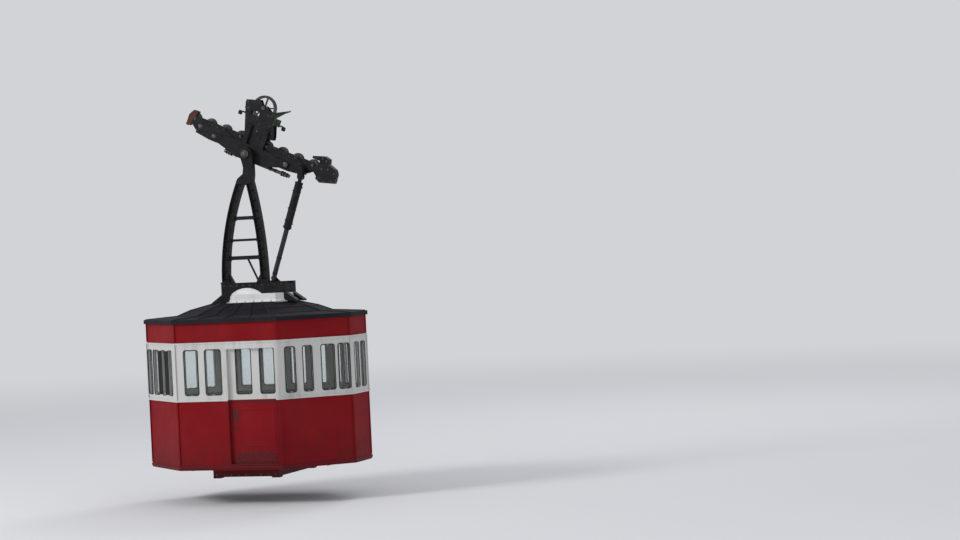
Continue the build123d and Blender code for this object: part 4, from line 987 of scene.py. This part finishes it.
coupling_h = -0.185
band_table = [
    # place along the rope, radius of what the band clasps
    (-0.262, 0.0345), (-0.30, 0.0325), (-0.34, 0.029), (0.542, 0.0345), (0.58, 0.0325), (0.62, 0.029),
    (-0.19, 0.0245), (0.36, 0.0245), (0.44, 0.0245),
]
band_long = 0.018
bands = [studded(turned(collar(r * 0.9, r + 0.004, band_long, 0.002), 20),
                 [rope_point(s - band_long / 2, coupling_h)], rope_along, (0, 1, 0)) for s, r in band_table]
make_piece("coupling_bands", join(bands), "carriage", "hanger_dark")

# Damper: bands, gland and filler on the tube; scraper ring and collar on the rod

damper_y = (hanger_near + hanger_far) / 2
eye_top, eye_foot = [np.array([pivot[0] + x, damper_y, pivot[2] + z]) for x, z in ((0.793, -0.361), (0.319, -1.735))]
damper_run = np.linalg.norm(eye_foot - eye_top)
damper_way = (eye_foot - eye_top) / damper_run
side_way = np.cross(damper_way, [0, 1, 0])
band_places = (0.078, 0.20, 0.45, 0.62)


def damper_ring(distance, profile):
    """Turned ring on the damper's axis, at a distance below its upper eye."""
    return studded(turned(profile, 28), [eye_top + damper_way * distance], damper_way, (0, 1, 0))


tube_rings = [damper_ring(d, collar(0.0545, 0.058, 0.022)) for d in band_places]
tube_rings.append(damper_ring(0.705, [(0.0545, 0), (0.060, 0.004), (0.060, 0.026), (0.052, 0.034)]))
tube_rings.append(damper_ring(0.739, [(0.046, 0), (0.046, 0.010), (0.0355, 0.014)]))
rod_rings = [damper_ring(damper_run - 0.30, collar(0.034, 0.038, 0.021)),
             damper_ring(damper_run - 0.075, collar(0.033, 0.036, 0.015))]
fillers = [eye_top + damper_way * d + side_way * 0.052 for d in (0.14, 0.66)]
clamps = [eye_top + damper_way * (d + 0.011) - side_way * 0.057 for d in band_places[1:]]
fittings = [studded(hex_bolt(0.010, 0.014), fillers, side_way), studded(hex_bolt(0.008, 0.008), clamps, -side_way)]
make_piece("damper_bands", join(tube_rings), "damper_tube", "hanger_dark")
make_piece("damper_fittings", join(fittings), "damper_tube", "pin_steel", False)
make_piece("damper_rod_rings", join(rod_rings), "damper_rod", "hanger_dark")

# Hanger: stiffeners in the legs' webs, foot plates, rivets of the legs and head, rim of the hub, collars on the rungs

hanger_sides = ((hanger_near, -1), (hanger_far, 1))
rung_table = [
    # depth below the pin, height of the bar
    (0.886, 0.050),
    (1.191, 0.034),
    (1.437, 0.054),
]
foot_thick = 0.010
stiffeners, leg_rivets, feet, collars = [], [], [], []
for side, foot, bow in leg_table:
    for depth in (0.50, 0.64, 0.78, 0.886, 1.03, 1.191, 1.31, 1.437, 1.60, 1.72):
        here, ahead = leg_point(side, foot, bow, 0.0, np.array([depth, depth + 0.01]))
        run = (ahead - here) / np.linalg.norm(ahead - here)
        for y, way in hanger_sides:
            spot = here + [0.0, y - 0.004 * way, 0.0]
            stiffeners.append(block(spot, (0.010, 0.084, 0.029), (0, -way, 0), run))
    spots = np.vstack([leg_point(side, foot, bow, offset, np.arange(0.42, 1.74, 0.075)) for offset in (-0.046, 0.046)])
    leg_rivets += [studded(rivet(0.0050, 0.0028), spots + [0, y, 0], (0, way, 0)) for y, way in hanger_sides]
    top = np.array([pivot[0] + side * foot, damper_y, pivot[2] - leg_foot_d])
    foot_spots = [top + [a, b, foot_thick] for a in (-0.066, 0.066) for b in (-0.040, 0.0, 0.040)]
    feet += [block(top, (0.150, 0.108, foot_thick)), studded(hex_bolt(0.0065, 0.007), foot_spots, (0, 0, 1))]
    for depth, tall in rung_table:
        spot = leg_point(side, foot, bow, -0.054, depth) + [0, damper_y, 0]
        bolt_z = tall / 2 + 0.004
        ends = [spot + [-side * 0.010, b, c] for b in (-0.026, 0.026) for c in (-bolt_z, bolt_z)]
        collars += [block(spot, (tall + 0.024, 0.066, 0.010), (-side, 0, 0)),
                    studded(rivet(0.0045, 0.004), ends, (-side, 0, 0))]
head_spots = [(-0.105, -0.355), (-0.060, -0.330), (0.060, -0.345), (0.030, -0.300), (-0.010, -0.390), (-0.030, -0.405),
              (0.075, -0.26), (-0.03, -0.24), (0.075, -0.18), (-0.02, -0.17)]
head_rivets = join(studded(rivet(0.0075, 0.004), [(pivot[0] + x, y, pivot[2] + z) for x, z in head_spots], (0, way, 0))
                   for y, way in hanger_sides)
hub_rim = studded(turned([(0.0925, 0.0), (0.0925, 0.004), (0.0885, 0.006), (0.073, 0.006)], 48),
                  [(pivot[0], hanger_near, pivot[2])], (0, -1, 0))
for name, shape, smooth in (
    ("leg_stiffeners", join(stiffeners), False),
    ("leg_rivets", join(leg_rivets), True),
    ("leg_feet", join(feet), False),
    ("head_rivets", head_rivets, True),
    ("hub_rim", hub_rim, True),
    ("rung_collars", join(collars), False),
):
    make_piece(name, shape, "hanger", "hanger_dark", smooth)

# Base beams: flanges along their top, bolts of their sides and end plates

base_top = high("base_frame")[2]
base_x = (pivot[0] - 0.455, pivot[0] + 0.507)
side_bolts = np.arange(base_x[0] + 0.05, base_x[1] - 0.03, 0.095)
base_bolt = hex_bolt(0.0075, 0.007)
base_parts, base_bolts = [], []
for y in (-beam_y, beam_y):
    for way, end in zip((-1, 1), base_x):
        line = y + way * 0.055
        base_parts.append(swept([(x, line, base_top - 0.006) for x in base_x], box_section(0.008, 0.012, 0.002)))
        spots = [(x, line + way * 0.0005, base_top - 0.034) for x in side_bolts]
        base_bolts.append(studded(base_bolt, spots, (0, way, 0), (1, 0, 0)))
        spots = [(end, y + b, base_top - c) for b in (-0.034, 0.034) for c in (0.035, 0.115)]
        base_bolts.append(studded(base_bolt, spots, (way, 0, 0)))
make_piece("base_flanges", join(base_parts), "hanger", "hanger_dark", False)
make_piece("base_bolts", join(base_bolts), "hanger", "pin_steel", False)

# Underframe: cross bearers under the floor, a diagonal brace, bolts and rubber edges on the feet

bearer_z = foot_z + 0.020
low_z = low("underframe_sides")[2]
foot_low = low("landing_feet")[2]
frame_x, frame_y, foot_half = 0.490, 0.680, 0.055
brace_x, brace_y = 0.44, 0.63
bearers = []
for x in np.linspace(-1.20, 1.20, 9):
    size = (0.040, floor_strip(x, half_width, half_length), 0.030)
    bearers.append(block((cabin_x + x, 0.0, bearer_z), size, (0, 0, -1), (1, 0, 0)))
for y in (-0.30, 0.30):
    bearers.append(block((cabin_x, y, bearer_z), (2 * half_length - 0.5, 0.050, 0.026), (0, 0, -1), (1, 0, 0)))
bolt_rises = (0.026, 0.104)
braces = [block((pivot[0], 0.0, low_z + 0.036), (0.16, 0.16, 0.008))]
frame_bolt = hex_bolt(0.008, 0.007)
frame_bolts, pads = [], []
for way in (-1, 1):
    ends = [(pivot[0] + end * brace_x, end * way * brace_y, low_z + 0.045) for end in (-1, 1)]
    braces.append(swept(ends, box_section(0.050, 0.010, 0.002)))
    long_row = [(pivot[0] + x, way * frame_y, low_z + z) for x in np.linspace(-brace_x, brace_x, 9)
                for z in bolt_rises]
    end_row = [(pivot[0] + way * frame_x, y, low_z + z) for y in np.linspace(-brace_y, brace_y, 11)
               for z in bolt_rises]
    frame_bolts += [studded(frame_bolt, long_row, (0, way, 0)), studded(frame_bolt, end_row, (way, 0, 0))]
    for end in (-1, 1):
        corners = rounded_ring(0.110, 0.110, 0.004, 3)
        middle = np.array([pivot[0] + way * (frame_x - foot_half), end * (frame_y - foot_half)])
        edge = np.column_stack([middle + corners, np.full(len(corners), foot_low + 0.009)])
        pads.append(swept(edge, box_section(0.010, 0.014, 0.003), True))
for name, shapes, slot in (
    ("floor_bearers", bearers, "frame_dark_red"),
    ("underframe_brace", braces, "frame_dark_red"),
    ("underframe_bolts", frame_bolts, "pin_steel"),
):
    make_piece(name, join(shapes), "hanger", slot, False)
make_piece("foot_rubbers", join(pads), "hanger", "floor_grey")

# Camera: placed so that the cabin stands where it does in the photograph's 960 by 540 frame

image_size = (960.0, 540.0)
focal_pixels = 2500.0
view_azimuth = math.radians(18.0)
view_pitch = math.radians(0.7)
view_roll = math.radians(-2.72)
view_distance = 35.0
view_target = np.array([0.0, 0.0, -3.0])
target_pixel = (263.1, 362.5)

ahead = np.array([-math.sin(view_azimuth) * math.cos(view_pitch),
                  math.cos(view_azimuth) * math.cos(view_pitch), -math.sin(view_pitch)])
level_right = np.array([math.cos(view_azimuth), math.sin(view_azimuth), 0.0])
level_up = np.cross(level_right, ahead)
right = level_right * math.cos(view_roll) + level_up * math.sin(view_roll)
upward = -level_right * math.sin(view_roll) + level_up * math.cos(view_roll)
sight = (ahead + right * (target_pixel[0] - image_size[0] / 2) / focal_pixels
         - upward * (target_pixel[1] - image_size[1] / 2) / focal_pixels)
sight /= np.linalg.norm(sight)
camera_data = bpy.data.cameras.new("camera")
camera_data.sensor_width = 36.0
camera_data.lens = focal_pixels / image_size[0] * camera_data.sensor_width
camera_data.clip_end = 500.0
camera = add_object("camera", camera_data)
turn = Matrix(np.stack([right, upward, -ahead], 1).tolist()).to_4x4()
camera.matrix_world = Matrix.Translation(Vector(view_target - view_distance * sight)) @ turn
bpy.context.scene.camera = camera

# Floor, backdrop and lights


def lamp(name, place, size, power, colour=(1, 1, 1)):
    """A soft square lamp that faces the middle of the cable car."""
    data = bpy.data.lights.new(name, "AREA")
    data.size = size
    data.energy = power
    data.color = colour
    holder = add_object(name, data)
    holder.location = place
    aim = Vector(view_target) - Vector(place)
    holder.rotation_euler = aim.to_track_quat("-Z", "Y").to_euler()


floor_gap = 0.35
floor_reach = 150.0
fade_start, fade_end = 6.0, 42.0
floor_z = cad_box[0][2] - floor_gap
floor_corners = [(a * floor_reach, b * floor_reach, floor_z) for a, b in ((-1, -1), (1, -1), (1, 1), (-1, 1))]
floor_mesh = bpy.data.meshes.new("studio_floor")
floor_mesh.from_pydata(floor_corners, [], [(0, 1, 2, 3)])
studio_floor = add_object("studio_floor", floor_mesh)
pale = (0.64, 0.65, 0.68)
floor_finish = Finish("studio_floor")
floor_mesh.materials.append(floor_finish.surface((0.88, 0.88, 0.88), 0.9))
away = floor_finish.node("VectorMath")
away.operation = "LENGTH"
floor_finish.link(floor_finish.coordinates, away.inputs[0])
fade = floor_finish.node("MapRange", Value=away.outputs["Value"], From_Min=fade_start, From_Max=fade_end)
fade.interpolation_type = "SMOOTHSTEP"
floor_finish.mix_in(fade.outputs[0], floor_finish.node("Emission", Color=(*pale, 1.0)))

lamp("key_lamp", (-14, -16, 10), 7.0, 2600)
lamp("fill_lamp", (16, -12, 2), 10.0, 300)
lamp("back_lamp", (4, 18, 12), 8.0, 900)

sky, sky_strength = (0.8, 0.83, 0.9), 0.55
world = bpy.data.worlds.new("studio")
bpy.context.scene.world = world
world.use_nodes = True
world_tree = world.node_tree
world_tree.nodes.clear()
world_out, soft_light, seen_light, light_path, seen, chosen = [
    world_tree.nodes.new("ShaderNode" + kind)
    for kind in ("OutputWorld", "Background", "Background", "LightPath", "Math", "MixShader")]
for light, colour, strength in ((soft_light, (*sky, 1), sky_strength), (seen_light, (*pale, 1), 1.0)):
    light.inputs["Color"].default_value = colour
    light.inputs["Strength"].default_value = strength
seen.operation = "MAXIMUM"
for start, end in (
    (light_path.outputs["Is Camera Ray"], seen.inputs[0]), (light_path.outputs["Is Transmission Ray"], seen.inputs[1]),
    (seen.outputs[0], chosen.inputs[0]), (soft_light.outputs[0], chosen.inputs[1]),
    (seen_light.outputs[0], chosen.inputs[2]), (chosen.outputs[0], world_out.inputs[0]),
):
    world_tree.links.new(start, end)
bpy.context.scene.view_settings.view_transform = "Standard"
